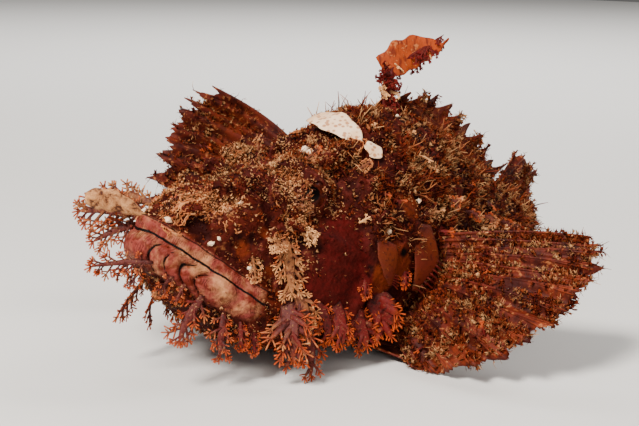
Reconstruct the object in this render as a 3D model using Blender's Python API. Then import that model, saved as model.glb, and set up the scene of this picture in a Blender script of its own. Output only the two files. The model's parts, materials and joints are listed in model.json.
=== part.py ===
"""A tasselled scorpionfish at life size, resting on a flat floor with its head raised.

The fish is shaped straight first. Its own frame has the tip of the upper lip at the origin, +X ahead,
+Y to the fish's left and +Z up. A place on it is written at(back, side, up). The body is one blended
form that thin cuts divide into head, lower jaw, torso and tail. The fins are thin sheets with a ridge
for each ray, and the tassels are lobed plates. At the end the pose bends the tail, lifts the head and
sets the fish on the floor, with the origin below the middle of its box.
"""

import math
import random

import bmesh
import bpy
import numpy as np
from mathutils import Matrix, Vector
from mathutils.bvhtree import BVHTree

# Driving sizes of the straight fish, in metres.
FIN_GAP = 0.0003
SECTION_POINTS = 36
VOXEL = 0.0015
BODY_TRIANGLES = 5000

# Stations of the trunk: back from the lip, half width, top, bottom and height of the widest line.
TRUNK = (
    (0.004, 0.0070, 0.0060, -0.0060, 0.000),
    (0.012, 0.0140, 0.0115, -0.0160, -0.002),
    (0.025, 0.0205, 0.0180, -0.0265, -0.005),
    (0.040, 0.0265, 0.0230, -0.0350, -0.008),
    (0.055, 0.0310, 0.0265, -0.0400, -0.009),
    (0.070, 0.0345, 0.0325, -0.0425, -0.008),
    (0.085, 0.0370, 0.0455, -0.0435, -0.006),
    (0.100, 0.0370, 0.0535, -0.0430, -0.004),
    (0.120, 0.0340, 0.0545, -0.0410, -0.002),
    (0.145, 0.0280, 0.0465, -0.0360, -0.001),
    (0.170, 0.0215, 0.0350, -0.0285, -0.001),
    (0.195, 0.0145, 0.0228, -0.0195, 0.000),
    (0.215, 0.0100, 0.0150, -0.0140, 0.000),
    (0.235, 0.0070, 0.0125, -0.0120, 0.000),
    (0.254, 0.0045, 0.0120, -0.0120, 0.000),
)

# The mouth: a parabola in plan that slopes down to its corners.
MOUTH_LENGTH = 0.0450
MOUTH_HALF_WIDTH = 0.0262
MOUTH_TOP = -0.0010
MOUTH_DROP = 0.0250
MOUTH_CUT = 0.0004

EYE_CENTRE = (0.0570, 0.0208, 0.0188)
EYE_RADIUS = 0.0088
EYE_SOCKET = EYE_RADIUS + FIN_GAP

# The pose: the head is lifted, and the rear of the body bends to the right and levels out.
HEAD_LIFT = math.radians(10)
BEND_START = 0.128
BEND_END = 0.262
TAIL_TURN = math.radians(-48)
TAIL_LEVEL = math.radians(7)

FLOOR = -0.0600

PELVIC_RAYS = 6
TAIL_RAYS = 11
RAY_RIDGE = 0.0015
RAY_WEB = 0.0008
PECTORAL_RAYS = 14
# Rows of name, side, forward, sweep, lift, reach and bow of the two breast fins: forward and sweep
# swing the rays ahead, from the top one down, and lift raises them.
PECTORAL_FINS = (
    ("pectoral_fin_left", 1, -0.45, 0.78, 0.18, 0.066, (0.0030, 0.0, 0.0010)),
    ("pectoral_fin_right", -1, 0.62, 0.45, 0.72, 0.084, (-0.0150, 0.0110, 0.0060)),
)
SPINE_LENGTHS = (0.009, 0.013, 0.017, 0.019, 0.020, 0.020, 0.020, 0.019, 0.018, 0.016, 0.013, 0.017)
SPINE_LEANS = (42, 45, 48, 50, 52, 54, 55, 56, 58, 60, 62, 58)
SOFT_LENGTHS = (0.026,) * 8
SOFT_LEANS = (52,) * 8
ANAL_LENGTHS = (0.012, 0.019, 0.021, 0.026, 0.027, 0.025, 0.021)
ANAL_LEANS = (73,) * 7
TOP, BOTTOM = 2, 3
# Rows of name, first and last base, ray lengths, leans in degrees, edge of the trunk, ridge, web, notch.
MIDDLE_FINS = (
    ("dorsal_fin_spiny", 0.0900, 0.1830, SPINE_LENGTHS, SPINE_LEANS, TOP, 0.0024, 0.0009, 0.30),
    ("dorsal_fin_soft", 0.1880, 0.2220, SOFT_LENGTHS, SOFT_LEANS, TOP, RAY_RIDGE, RAY_WEB, 0.08),
    ("anal_fin", 0.1680, 0.1980, ANAL_LENGTHS, ANAL_LEANS, BOTTOM, 0.0017, 0.0009, 0.12),
)

# The flag: foot and top of its stalk, the way of its leaf and the way across the leaf's face.
FLAG_FOOT = (0.1100, 0.0000, 0.0495)
FLAG_TOP = (0.1092, -0.0005, 0.0710)
FLAG_WAY = (-0.72, 0.26, 0.62)
FLAG_FACE = (0.45, 0.90, 0.10)
FLAG_TUFTS = (
    (0.30, (0.5, 0.6, 0.5)), (0.45, (-0.8, 0.2, 0.5)), (0.62, (0.4, 0.8, 0.4)), (0.80, (-0.9, 0.3, 0.2)),
)
# The pale leaf: its root, the way it lies and the way it faces.
LEAF_ROOT = (0.0805, -0.0080, 0.0430)
LEAF_WAY = (0.12, 0.90, -0.30)
LEAF_FACE = (0.50, 0.30, 0.80)

# Plates and spines of the skin: half thicknesses, how deep they root and where a plate's lobes end.
FROND_ROOT = 0.0005
FROND_TIP = 0.00025
FROND_BODY = 0.85
ROOT_DEPTH = 0.0025
COMB_TEETH = 8
BLADE_LENGTH = 0.0260
DOWN = Vector((-math.sin(HEAD_LIFT), 0, -math.cos(HEAD_LIFT)))

# Rows of place (back, side, up), aim (ahead, out, up), length, width and lobe pairs.
HEAD_FRONDS = (
    ((0.0457, 0.0275, 0.0010), (0.00, 0.50, -0.70), 0.0240, 0.0150, 4),
    ((0.0470, 0.0300, -0.0190), (0.10, 0.75, -0.65), 0.0240, 0.0170, 4),
    ((0.0340, 0.0250, -0.0060), (0.10, 0.60, -0.60), 0.0100, 0.0060, 2),
    ((0.0564, 0.0331, -0.0228), (-0.05, 0.30, -0.90), 0.0240, 0.0110, 3),
    ((0.0673, 0.0358, -0.0200), (-0.20, 0.35, -0.85), 0.0160, 0.0110, 3),
    ((0.0745, 0.0355, -0.0225), (-0.55, 0.25, -0.75), 0.0170, 0.0120, 3),
    ((0.0890, 0.0370, -0.0170), (-0.10, 0.40, -0.90), 0.0130, 0.0140, 3),
    ((0.0789, 0.0373, -0.0088), (0.10, 0.50, -0.80), 0.0080, 0.0055, 2),
    ((0.0590, 0.0120, 0.0350), (-0.30, 0.45, 0.80), 0.0100, 0.0060, 2),
    ((0.0760, 0.0240, 0.0290), (-0.30, 0.60, 0.70), 0.0080, 0.0055, 2),
)
JAW_FRONDS = (
    ((0.0172, 0.0198, -0.0215), (0.55, 0.25, -0.80), 0.0200, 0.0105, 3),
    ((0.0257, 0.0229, -0.0262), (0.25, 0.30, -0.90), 0.0170, 0.0075, 3),
    ((0.0321, 0.0245, -0.0305), (0.00, 0.30, -0.90), 0.0095, 0.0055, 2),
    ((0.0070, 0.0151, -0.0155), (0.70, 0.25, -0.60), 0.0110, 0.0060, 2),
)
RIGHT_HEAD_FRONDS = (((0.0200, 0.0210, 0.0035), (0.42, 0.88, 0.16), 0.0350, 0.0210, 4),)
RIGHT_JAW_FRONDS = (
    ((0.0010, 0.0040, -0.0120), (0.85, 0.50, -0.10), 0.0280, 0.0100, 4),
    ((0.0030, 0.0020, -0.0170), (0.75, 0.10, -0.60), 0.0130, 0.0060, 2),
)
TORSO_FRONDS = (
    ((0.1240, 0.0300, 0.0220), (-0.60, 0.60, 0.30), 0.0095, 0.0060, 2),
    ((0.1400, 0.0270, 0.0180), (-0.65, 0.65, 0.20), 0.0100, 0.0060, 2),
    ((0.1560, 0.0230, 0.0150), (-0.65, 0.65, 0.20), 0.0095, 0.0060, 2),
    ((0.1720, 0.0190, 0.0120), (-0.70, 0.65, 0.15), 0.0085, 0.0055, 2),
    ((0.1880, 0.0150, 0.0090), (-0.70, 0.60, 0.10), 0.0080, 0.0050, 2),
    ((0.1500, 0.0260, -0.0120), (-0.60, 0.65, -0.10), 0.0080, 0.0055, 2),
    ((0.1700, 0.0200, -0.0100), (-0.60, 0.65, -0.10), 0.0075, 0.0050, 2),
)
# Rows of place, aim, length and radius of the head spines.
HEAD_THORNS = (
    ((0.0180, 0.0080, 0.0160), (0.20, 0.30, 1.00), 0.0030, 0.0013),
    ((0.0420, 0.0180, 0.0260), (0.10, 0.60, 0.80), 0.0032, 0.0015),
    ((0.0680, 0.0150, 0.0310), (-0.70, 0.40, 0.60), 0.0036, 0.0016),
    ((0.0740, 0.0165, 0.0390), (-0.80, 0.30, 0.50), 0.0034, 0.0015),
    ((0.0810, 0.0200, 0.0420), (-0.70, 0.40, 0.60), 0.0036, 0.0016),
    ((0.0560, 0.0340, 0.0020), (-0.40, 0.90, 0.10), 0.0030, 0.0014),
    ((0.0680, 0.0370, 0.0020), (-0.50, 0.90, 0.10), 0.0032, 0.0014),
    ((0.0800, 0.0390, 0.0020), (-0.80, 0.60, 0.10), 0.0048, 0.0018),
    ((0.0840, 0.0380, -0.0060), (-0.80, 0.60, -0.20), 0.0034, 0.0015),
    ((0.0330, 0.0250, -0.0010), (0.20, 0.90, -0.30), 0.0030, 0.0014),
)

# Colour and roughness of every node, in the order the names are tried.
LOOKS = (
    ("eye", (0.040, 0.016, 0.010), 0.15),
    ("lower_jaw", (0.420, 0.250, 0.210), 0.55),
    ("head", (0.235, 0.085, 0.055), 0.60),
    ("torso", (0.190, 0.078, 0.048), 0.65),
    ("tail_stem", (0.200, 0.085, 0.055), 0.65),
    ("pectoral", (0.270, 0.095, 0.045), 0.60),
    ("pelvic", (0.260, 0.100, 0.060), 0.60),
    ("dorsal_fin_spiny", (0.250, 0.090, 0.045), 0.60),
    ("dorsal_fin_soft", (0.230, 0.090, 0.050), 0.60),
    ("anal", (0.230, 0.095, 0.055), 0.60),
    ("tail_fin", (0.240, 0.100, 0.055), 0.60),
)


def at(back, side, up):
    """A place on the straight fish."""
    return Vector((-back, side, up))


def smooth(table, column, s):
    """A column of a station table at s, on a curve without overshoot through its stations."""
    xs = np.array([row[0] for row in table])
    ys = np.array([row[column] for row in table])
    steps = np.diff(ys) / np.diff(xs)
    slopes = np.zeros(len(xs))
    slopes[0], slopes[-1] = steps[0], steps[-1]
    for i in range(1, len(xs) - 1):
        if steps[i - 1] * steps[i] > 0:
            slopes[i] = 2 * steps[i - 1] * steps[i] / (steps[i - 1] + steps[i])
    s = min(max(s, xs[0]), xs[-1])
    i = min(int(np.searchsorted(xs, s, side="right")) - 1, len(xs) - 2)
    h = xs[i + 1] - xs[i]
    t = (s - xs[i]) / h
    return float(
        ys[i] * (2 * t**3 - 3 * t**2 + 1)
        + slopes[i] * h * (t**3 - 2 * t**2 + t)
        + ys[i + 1] * (3 * t**2 - 2 * t**3)
        + slopes[i + 1] * h * (t**3 - t**2)
    )


def power(value, exponent):
    """A signed power, for rounded-square sections."""
    return math.copysign(abs(value) ** exponent, value)


def trunk_ring(s):
    """The closed section of the trunk at s, from the left side over the back."""
    half, top, bottom, widest = (smooth(TRUNK, column, s) for column in range(1, 5))
    ring = []
    for k in range(SECTION_POINTS):
        angle = 2 * math.pi * k / SECTION_POINTS
        c, n = math.cos(angle), math.sin(angle)
        reach = top - widest if n > 0 else widest - bottom
        sharp = 1.12 if n > 0 else 0.86
        ring.append(at(s, half * power(c, 0.92), widest + reach * power(n, sharp)))
    return ring


def mesh_object(name, points, faces):
    """A new object in the scene from points and faces, with its faces turned outwards."""
    mesh = bpy.data.meshes.new(name)
    mesh.from_pydata([tuple(p) for p in points], [], faces)
    form = bmesh.new()
    form.from_mesh(mesh)
    bmesh.ops.recalc_face_normals(form, faces=form.faces)
    form.to_mesh(mesh)
    form.free()
    obj = bpy.data.objects.new(name, mesh)
    bpy.context.scene.collection.objects.link(obj)
    return obj


def loft(name, rings):
    """A closed form through rings of equal counts, with flat ends."""
    count = len(rings[0])
    points = [p for ring in rings for p in ring]
    faces = [tuple(range(count)), tuple(range(len(points) - count, len(points)))]
    for r in range(len(rings) - 1):
        for k in range(count):
            a, b = r * count + k, r * count + (k + 1) % count
            faces.append((a, b, b + count, a + count))
    return mesh_object(name, points, faces)


def ellipsoid(name, centre, radii, turn=(0, 0, 0), subdivisions=3):
    """A closed ball scaled to its radii and turned about X, Y and Z in degrees."""
    form = bmesh.new()
    bmesh.ops.create_icosphere(form, subdivisions=subdivisions, radius=1.0)
    rotation = Matrix.Identity(4)
    for angle, axis in zip(turn, "XYZ"):
        rotation = Matrix.Rotation(math.radians(angle), 4, axis) @ rotation
    scale = Matrix.Diagonal((*radii, 1.0))
    bmesh.ops.transform(form, matrix=Matrix.Translation(centre) @ rotation @ scale, verts=form.verts)
    mesh = bpy.data.meshes.new(name)
    form.to_mesh(mesh)
    form.free()
    obj = bpy.data.objects.new(name, mesh)
    bpy.context.scene.collection.objects.link(obj)
    return obj


def tube(name, path, radii, sides=10):
    """A closed tube along a path. Each radius is one number, or a pair of half width and half height."""
    rings = []
    for i, p in enumerate(path):
        ahead = (path[min(i + 1, len(path) - 1)] - path[max(i - 1, 0)]).normalized()
        across = Vector((0, 0, 1)).cross(ahead)
        across = across.normalized() if across.length > 1e-6 else Vector((0, 1, 0))
        up = ahead.cross(across)
        wide, tall = radii[i] if isinstance(radii[i], tuple) else (radii[i], radii[i])
        turns = [2 * math.pi * k / sides for k in range(sides)]
        rings.append([p + across * wide * math.cos(a) + up * tall * math.sin(a) for a in turns])
    return loft(name, rings)


def bake(obj):
    """Applies the object's modifiers."""
    graph = bpy.context.evaluated_depsgraph_get()
    mesh = bpy.data.meshes.new_from_object(obj.evaluated_get(graph))
    obj.modifiers.clear()
    obj.data = mesh
    return obj


def remove(objects):
    """Deletes helper objects."""
    for obj in list(objects):
        bpy.data.objects.remove(obj)


def combine(obj, operation, others, solver="MANIFOLD"):
    """One Boolean of the object with a set of closed objects, which are then removed."""
    group = bpy.data.collections.new("helpers")
    bpy.context.scene.collection.children.link(group)
    for other in others:
        group.objects.link(other)
    modifier = obj.modifiers.new("combine", "BOOLEAN")
    modifier.operation = operation
    modifier.solver = solver
    modifier.operand_type = "COLLECTION"
    modifier.collection = group
    bake(obj)
    remove(others)
    bpy.data.collections.remove(group)
    return keep_largest(obj)


def keep_largest(obj):
    """Keeps only the closed surface that holds the most."""
    form = bmesh.new()
    form.from_mesh(obj.data)
    bmesh.ops.triangulate(form, faces=form.faces)
    form.verts.ensure_lookup_table()
    seen, groups = set(), []
    for start in form.verts:
        if start.index in seen:
            continue
        stack, group = [start], []
        seen.add(start.index)
        while stack:
            vertex = stack.pop()
            group.append(vertex)
            for edge in vertex.link_edges:
                other = edge.other_vert(vertex)
                if other.index not in seen:
                    seen.add(other.index)
                    stack.append(other)
        groups.append(group)

    def held(group):
        faces = {face for vertex in group for face in vertex.link_faces}
        return sum(f.verts[0].co.dot(f.verts[1].co.cross(f.verts[2].co)) for f in faces)

    best = max(groups, key=held)
    for group in groups:
        if group is not best:
            bmesh.ops.delete(form, geom=group, context="VERTS")
    form.to_mesh(obj.data)
    form.free()
    return obj


def copy_of(obj, name, grow=0.0):
    """A copy of a mesh object, grown outwards along its normals."""
    other = bpy.data.objects.new(name, obj.data.copy())
    bpy.context.scene.collection.objects.link(other)
    if grow:
        form = bmesh.new()
        form.from_mesh(other.data)
        form.normal_update()
        moved = [(v, v.co + v.normal * grow) for v in form.verts]
        for vertex, place in moved:
            vertex.co = place
        form.to_mesh(other.data)
        form.free()
    return other


def both_sides(make, *places):
    """Calls make for the left side and, with every side value negated, for the right side."""
    found = []
    for sign in (1, -1):
        found.append(make(sign, *[at(p[0], sign * p[1], p[2]) for p in places]))
    return found


def mouth_height(s):
    """Height of the mouth line at s."""
    return MOUTH_TOP - MOUTH_DROP * max(s, 0.0) / MOUTH_LENGTH


def mouth_path(shift, lift, steps=17, reach=1.0):
    """The line of a lip from the left corner round the tip to the right corner."""
    path = []
    for k in range(steps):
        t = reach * (1 - 2 * k / (steps - 1))
        s = MOUTH_LENGTH * t * t + shift
        path.append(at(s, MOUTH_HALF_WIDTH * t, mouth_height(MOUTH_LENGTH * t * t) + lift))
    return path


GILL_LINE = (
    (0.084, 0.070), (0.090, 0.034), (0.102, 0.022), (0.1125, 0.010), (0.1150, 0.002),
    (0.1110, -0.009), (0.1030, -0.021), (0.0930, -0.032), (0.0800, -0.041), (0.0700, -0.060),
)
TAIL_LINE = ((0.2050, 0.070), (0.2050, -0.070))
# Rows of name, place and radii of the hollows on each side.
HOLLOWS = (
    ("cheek_pit", (0.0405, 0.0265, 0.0125), (0.0058, 0.0056, 0.0046)),
    ("nostril", (0.0215, 0.0150, 0.0160), (0.0030, 0.0030, 0.0022)),
    ("flap_pit", (0.0895, 0.0395, 0.0075), (0.0060, 0.0030, 0.0060)),
)
FLAP_ARC = ((0.0860, 0.0170), (0.0815, 0.0110), (0.0810, 0.0040), (0.0850, -0.0020), (0.0910, -0.0050))


def body_parts():
    """The forms that blend into the body, and those that are cut out of it."""
    lip_steps = 17
    solids = [loft("trunk", [trunk_ring(s) for s in np.linspace(0.004, 0.254, 72)])]
    upper = [0.0030 + 0.0006 * abs(1 - 2 * k / (lip_steps - 1)) for k in range(lip_steps)]
    solids.append(tube("upper_lip", mouth_path(0.0015, 0.0030), [(r, r * 0.95) for r in upper]))
    ends = [abs(1 - 2 * k / (lip_steps - 1)) for k in range(lip_steps)]
    lower = [(0.0046 - 0.0016 * e**4, 0.0062 - 0.0026 * e**4) for e in ends]
    rim = [(0.0052 - 0.0016 * e**3, 0.0052 - 0.0022 * e**3) for e in ends]
    solids.append(tube("lower_lip", mouth_path(-0.0005, -0.0060), lower))
    solids.append(tube("chin_rim", mouth_path(0.0040, -0.0115, reach=0.98), rim))
    solids.append(ellipsoid("chin", at(0.0290, 0, -0.0270), (0.0300, 0.0185, 0.0100), (0, -30, 0)))
    solids.append(ellipsoid("throat", at(0.0600, 0, -0.0370), (0.0260, 0.0250, 0.0080), (0, -8, 0)))
    solids.append(ellipsoid("nose_ridge", at(0.0170, 0, 0.0100), (0.0150, 0.0070, 0.0062), (0, 22, 0)))

    def left_and_right(name, centre, radii, turn=(0, 0, 0)):
        def make(sign, place):
            angles = (sign * turn[0], turn[1], sign * turn[2])
            return ellipsoid(f"{name}_{sign}", place, radii, angles)

        solids.extend(both_sides(make, centre))

    left_and_right("turret", (0.0568, 0.0184, 0.0182), (0.0138, 0.0112, 0.0124))
    left_and_right("brow", (0.0545, 0.0172, 0.0280), (0.0122, 0.0056, 0.0042), (0, -6, 6))
    left_and_right("brow_front", (0.0400, 0.0130, 0.0215), (0.0100, 0.0046, 0.0046), (0, -20, -8))
    left_and_right("nostril_mound", (0.0250, 0.0110, 0.0165), (0.0062, 0.0046, 0.0044), (0, 20, 0))
    left_and_right("snout_side", (0.0270, 0.0165, 0.0040), (0.0150, 0.0060, 0.0075), (0, 25, -22))
    left_and_right("jaw_plate", (0.0390, 0.0255, -0.0200), (0.0115, 0.0034, 0.0062), (0, -34, -20))
    left_and_right("cheek", (0.0640, 0.0275, -0.0120), (0.0210, 0.0095, 0.0180), (0, 0, -8))
    left_and_right("cheek_stay", (0.0620, 0.0320, 0.0030), (0.0200, 0.0034, 0.0034), (0, -17, -14))
    left_and_right("cheek_edge", (0.0815, 0.0355, -0.0120), (0.0036, 0.0034, 0.0200), (0, -20, 0))
    left_and_right("gill_cover", (0.0960, 0.0335, -0.0010), (0.0190, 0.0062, 0.0210), (0, -8, 5))
    left_and_right("gill_rib", (0.1000, 0.0385, 0.0060), (0.0130, 0.0022, 0.0020), (0, -8, 4))
    left_and_right("neck_ridge", (0.0770, 0.0165, 0.0360), (0.0130, 0.0045, 0.0045), (0, 26, 0))
    left_and_right("shoulder", (0.1120, 0.0270, 0.0150), (0.0180, 0.0060, 0.0110), (0, 0, 8))
    left_and_right("neck_knob", (0.0940, 0.0190, 0.0440), (0.0060, 0.0045, 0.0040))
    solids.append(ellipsoid("nape", at(0.1000, 0, 0.0440), (0.0220, 0.0200, 0.0105), (0, 12, 0)))

    cuts = [ellipsoid("neck_pit", at(0.0680, 0, 0.0395), (0.0080, 0.0105, 0.0080))]
    for sign in (1, -1):
        arc = [at(s, sign * 0.0375, z) for s, z in FLAP_ARC]
        solids.append(tube(f"flap_rim_{sign}", arc, [(0.0018, 0.0026)] * len(arc)))
        line = [at(s, 0.0, z) for s, z in GILL_LINE[2:9]]
        cuts.append(gill_groove(sign, line))
        for name, (back, side, up), radii in HOLLOWS:
            cuts.append(ellipsoid(f"{name}_{sign}", at(back, sign * side, up), radii))
    cuts.append(tube("mouth_groove", mouth_path(-0.0028, 0.0, reach=1.03), [0.0013] * lip_steps))
    return solids, cuts


def gill_groove(sign, line):
    """A groove along the edge of the gill cover, laid where the trunk's side is."""
    path = [at(-p.x, sign * (trunk_side(-p.x, p.z) + 0.0022), p.z) for p in line]
    return tube(f"gill_groove_{sign}", path, [0.0022] * len(path))


def blended_body():
    """The whole body as one smooth closed mesh of few faces."""
    solids, cuts = body_parts()
    form = bmesh.new()
    for part in solids:
        form.from_mesh(part.data)
    mesh = bpy.data.meshes.new("body")
    form.to_mesh(mesh)
    form.free()
    body = bpy.data.objects.new("body", mesh)
    bpy.context.scene.collection.objects.link(body)
    remove(solids)
    blend = body.modifiers.new("blend", "REMESH")
    blend.mode = "VOXEL"
    blend.voxel_size = VOXEL
    ease = body.modifiers.new("ease", "SMOOTH")
    ease.factor = 0.5
    ease.iterations = 4
    bake(body)
    combine(body, "DIFFERENCE", cuts)
    again = body.modifiers.new("again", "REMESH")
    again.mode = "VOXEL"
    again.voxel_size = VOXEL
    ease = body.modifiers.new("ease", "SMOOTH")
    ease.factor = 0.5
    ease.iterations = 3
    bake(body)
    thin = body.modifiers.new("thin", "DECIMATE")
    thin.ratio = BODY_TRIANGLES / (2 * len(body.data.polygons))
    return keep_largest(bake(body))


def side_prism(name, outline):
    """A closed prism across the fish from an outline of (back, up) points."""
    half = 0.080
    rings = [[at(s, side, z) for s, z in outline] for side in (half, -half)]
    return loft(name, rings)


def shifted(line, distance):
    """A line of (back, up) points moved back by a distance."""
    return [(s + distance, z) for s, z in line]


def jaw_outline(drop):
    """Side outline of the lower jaw, with its upper edge lowered by drop."""
    front, corner, hinge = -0.030, MOUTH_LENGTH + 0.0035, 0.0600
    return [
        (front, mouth_height(0) + 0.004 - drop),
        (0.000, mouth_height(0) - drop),
        (corner, mouth_height(corner) - drop),
        (hinge - drop, -0.0390),
        (hinge - drop, -0.0700),
        (front, -0.0700),
    ]


def divided_body(body):
    """Head, lower jaw, torso and tail from the whole body, parted by thin cuts."""
    half_gap = MOUTH_CUT / 2
    ahead = [(-0.030, 0.070), *shifted(GILL_LINE, -half_gap), (-0.030, -0.060)]
    behind = [*shifted(GILL_LINE, half_gap), *reversed(shifted(TAIL_LINE, -half_gap))]
    rear = [*shifted(TAIL_LINE, half_gap), (0.300, -0.070), (0.300, 0.070)]
    head = copy_of(body, "head")
    jaw = copy_of(body, "lower_jaw")
    torso = copy_of(body, "torso")
    tail = copy_of(body, "tail_stem")
    combine(head, "INTERSECT", [side_prism("front", ahead)])
    combine(head, "DIFFERENCE", [side_prism("mouth", jaw_outline(-half_gap))])
    combine(jaw, "INTERSECT", [side_prism("mouth", jaw_outline(half_gap))])
    combine(torso, "INTERSECT", [side_prism("middle", behind)])
    combine(tail, "INTERSECT", [side_prism("rear", rear)])
    return head, jaw, torso, tail


def trunk_side(s, z):
    """Half width of the trunk at s and height z."""
    half, top, bottom, widest = (smooth(TRUNK, column, s) for column in range(1, 5))
    reach = top - widest if z > widest else widest - bottom
    share = min(abs(z - widest) / reach, 0.98)
    return half * math.sqrt(1 - share**2)


def fin(name, bases, tips, ridge, web, notch, rows=4, bow=(0, 0, 0)):
    """A thin closed sheet with a ridge for each ray and a scalloped edge between the rays."""
    columns = []
    for i, (base, tip) in enumerate(zip(bases, tips)):
        columns.append((base, tip, ridge))
        if i + 1 < len(bases):
            middle = (base + bases[i + 1]) / 2
            edge = (tip + tips[i + 1]) / 2
            columns.append((middle, middle.lerp(edge, 1 - notch), web))
    bow = Vector(bow)
    grid = []
    for base, tip, _ in columns:
        steps = [r / rows for r in range(rows + 1)]
        grid.append([base.lerp(tip, v) + bow * math.sin(math.pi * v) for v in steps])
    front, back = [], []
    last = len(columns) - 1
    for c, (_, _, thick) in enumerate(columns):
        for r in range(rows + 1):
            along = grid[c][min(r + 1, rows)] - grid[c][max(r - 1, 0)]
            across = grid[min(c + 1, last)][r] - grid[max(c - 1, 0)][r]
            taper = 1 - 0.5 * r / rows if thick == ridge else 1
            offset = across.cross(along).normalized() * thick * taper / 2
            front.append(grid[c][r] + offset)
            back.append(grid[c][r] - offset)
    total, width = len(front), rows + 1
    faces = []
    for c in range(last):
        for r in range(rows):
            a, b = c * width + r, (c + 1) * width + r
            pair = ((a, b, b + 1), (a, b + 1, a + 1)) if c % 2 else ((a, b, a + 1), (b, b + 1, a + 1))
            for face in pair:
                faces.append(face)
                faces.append(tuple(total + k for k in reversed(face)))
    rim = [c * width for c in range(last + 1)]
    rim += [last * width + r for r in range(1, width)]
    rim += [c * width + rows for c in range(last - 1, -1, -1)]
    rim += [r for r in range(rows - 1, 0, -1)]
    faces += wall(rim, total)
    return mesh_object(name, front + back, faces)


def wall(rim, total):
    """Triangles that close the edge between a front sheet and its back sheet."""
    faces = []
    for k, a in enumerate(rim):
        b = rim[(k + 1) % len(rim)]
        faces += [(a, b, total + b), (a, total + b, total + a)]
    return faces


def floor_up(back):
    """Height of the floor in the straight fish's frame, ahead of the bend."""
    return (FLOOR + back * math.sin(HEAD_LIFT)) / math.cos(HEAD_LIFT)


def pectoral_fin(name, sign, forward, sweep, lift, reach, bow):
    """A broad fan on its lowest rays."""
    bases, tips = [], []
    for k in range(PECTORAL_RAYS):
        u = k / (PECTORAL_RAYS - 1)
        up = 0.0070 - 0.0330 * u
        back = 0.1210 - 0.0110 * u * u
        base = at(back, trunk_side(back, up) - 0.0045, up)
        rise = lift * (1 - u) ** 0.6 - 0.58 * u * u
        away = Vector((forward + sweep * u, 0.92 - 0.10 * u, rise)).normalized()
        tip = base + away * (reach + 0.048 * u - 0.082 * u * u)
        tip.z = max(tip.z, floor_up(-tip.x) + 0.0002)
        bases.append(Vector((base.x, sign * base.y, base.z)))
        tips.append(Vector((tip.x, sign * tip.y, tip.z)))
    return fin(name, bases, tips, RAY_RIDGE, RAY_WEB, 0.07, rows=4, bow=(bow[0], sign * bow[1], bow[2]))


def pelvic_fin(name, sign):
    """A short fan under the breast that lies out on the floor."""
    bases, tips = [], []
    for k in range(PELVIC_RAYS):
        u = k / (PELVIC_RAYS - 1)
        back, reach = 0.0880 + 0.0140 * u, 0.030 + 0.020 * math.sin(math.pi * (0.25 + 0.75 * u))
        base = at(back, 0.0150 - 0.003 * u, smooth(TRUNK, 3, back) + 0.0060)
        turn = math.radians(22 + 58 * u)
        tip = at(back + reach * math.sin(turn), 0.015 + reach * math.cos(turn), 0)
        tip.z = floor_up(-tip.x) + 0.0004
        bases.append(Vector((base.x, sign * base.y, base.z)))
        tips.append(Vector((tip.x, sign * tip.y, tip.z)))
    return fin(name, bases, tips, 0.0016, 0.0009, 0.10, rows=4)


def middle_fin(name, first, last, lengths, leans, column, ridge, web, notch, rows=3):
    """A fin on the midline of the back or belly: rays of given lengths that lean back."""
    up = 1 if column == TOP else -1
    bases, tips = [], []
    for k, (length, lean) in enumerate(zip(lengths, leans)):
        back = first + (last - first) * k / (len(lengths) - 1)
        base = at(back, 0, smooth(TRUNK, column, back) - up * 0.0045)
        away = at(math.sin(math.radians(lean)), 0, up * math.cos(math.radians(lean)))
        bases.append(base)
        tips.append(base + away * (length + 0.0045))
    return fin(name, bases, tips, ridge, web, notch, rows=rows)


def tail_fin(name):
    """The rounded tail fin."""
    bases, tips = [], []
    for k in range(TAIL_RAYS):
        u = 2 * k / (TAIL_RAYS - 1) - 1
        bases.append(at(0.2465, 0, 0.0098 * u))
        tips.append(at(0.3060 - 0.0070 * u * u, 0, 0.0262 * u))
    return fin(name, bases, tips, RAY_RIDGE, RAY_WEB, 0.06, rows=4)


def eyes_in_sockets(head):
    """An eyeball in a socket on each side."""
    balls, sockets = [], []
    for name, sign in (("eye_left", 1), ("eye_right", -1)):
        centre = at(EYE_CENTRE[0], sign * EYE_CENTRE[1], EYE_CENTRE[2])
        balls.append(ellipsoid(name, centre, (EYE_RADIUS,) * 3))
        sockets.append(ellipsoid(name + "_socket", centre, (EYE_SOCKET,) * 3))
    combine(head, "DIFFERENCE", sockets)
    return balls


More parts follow.
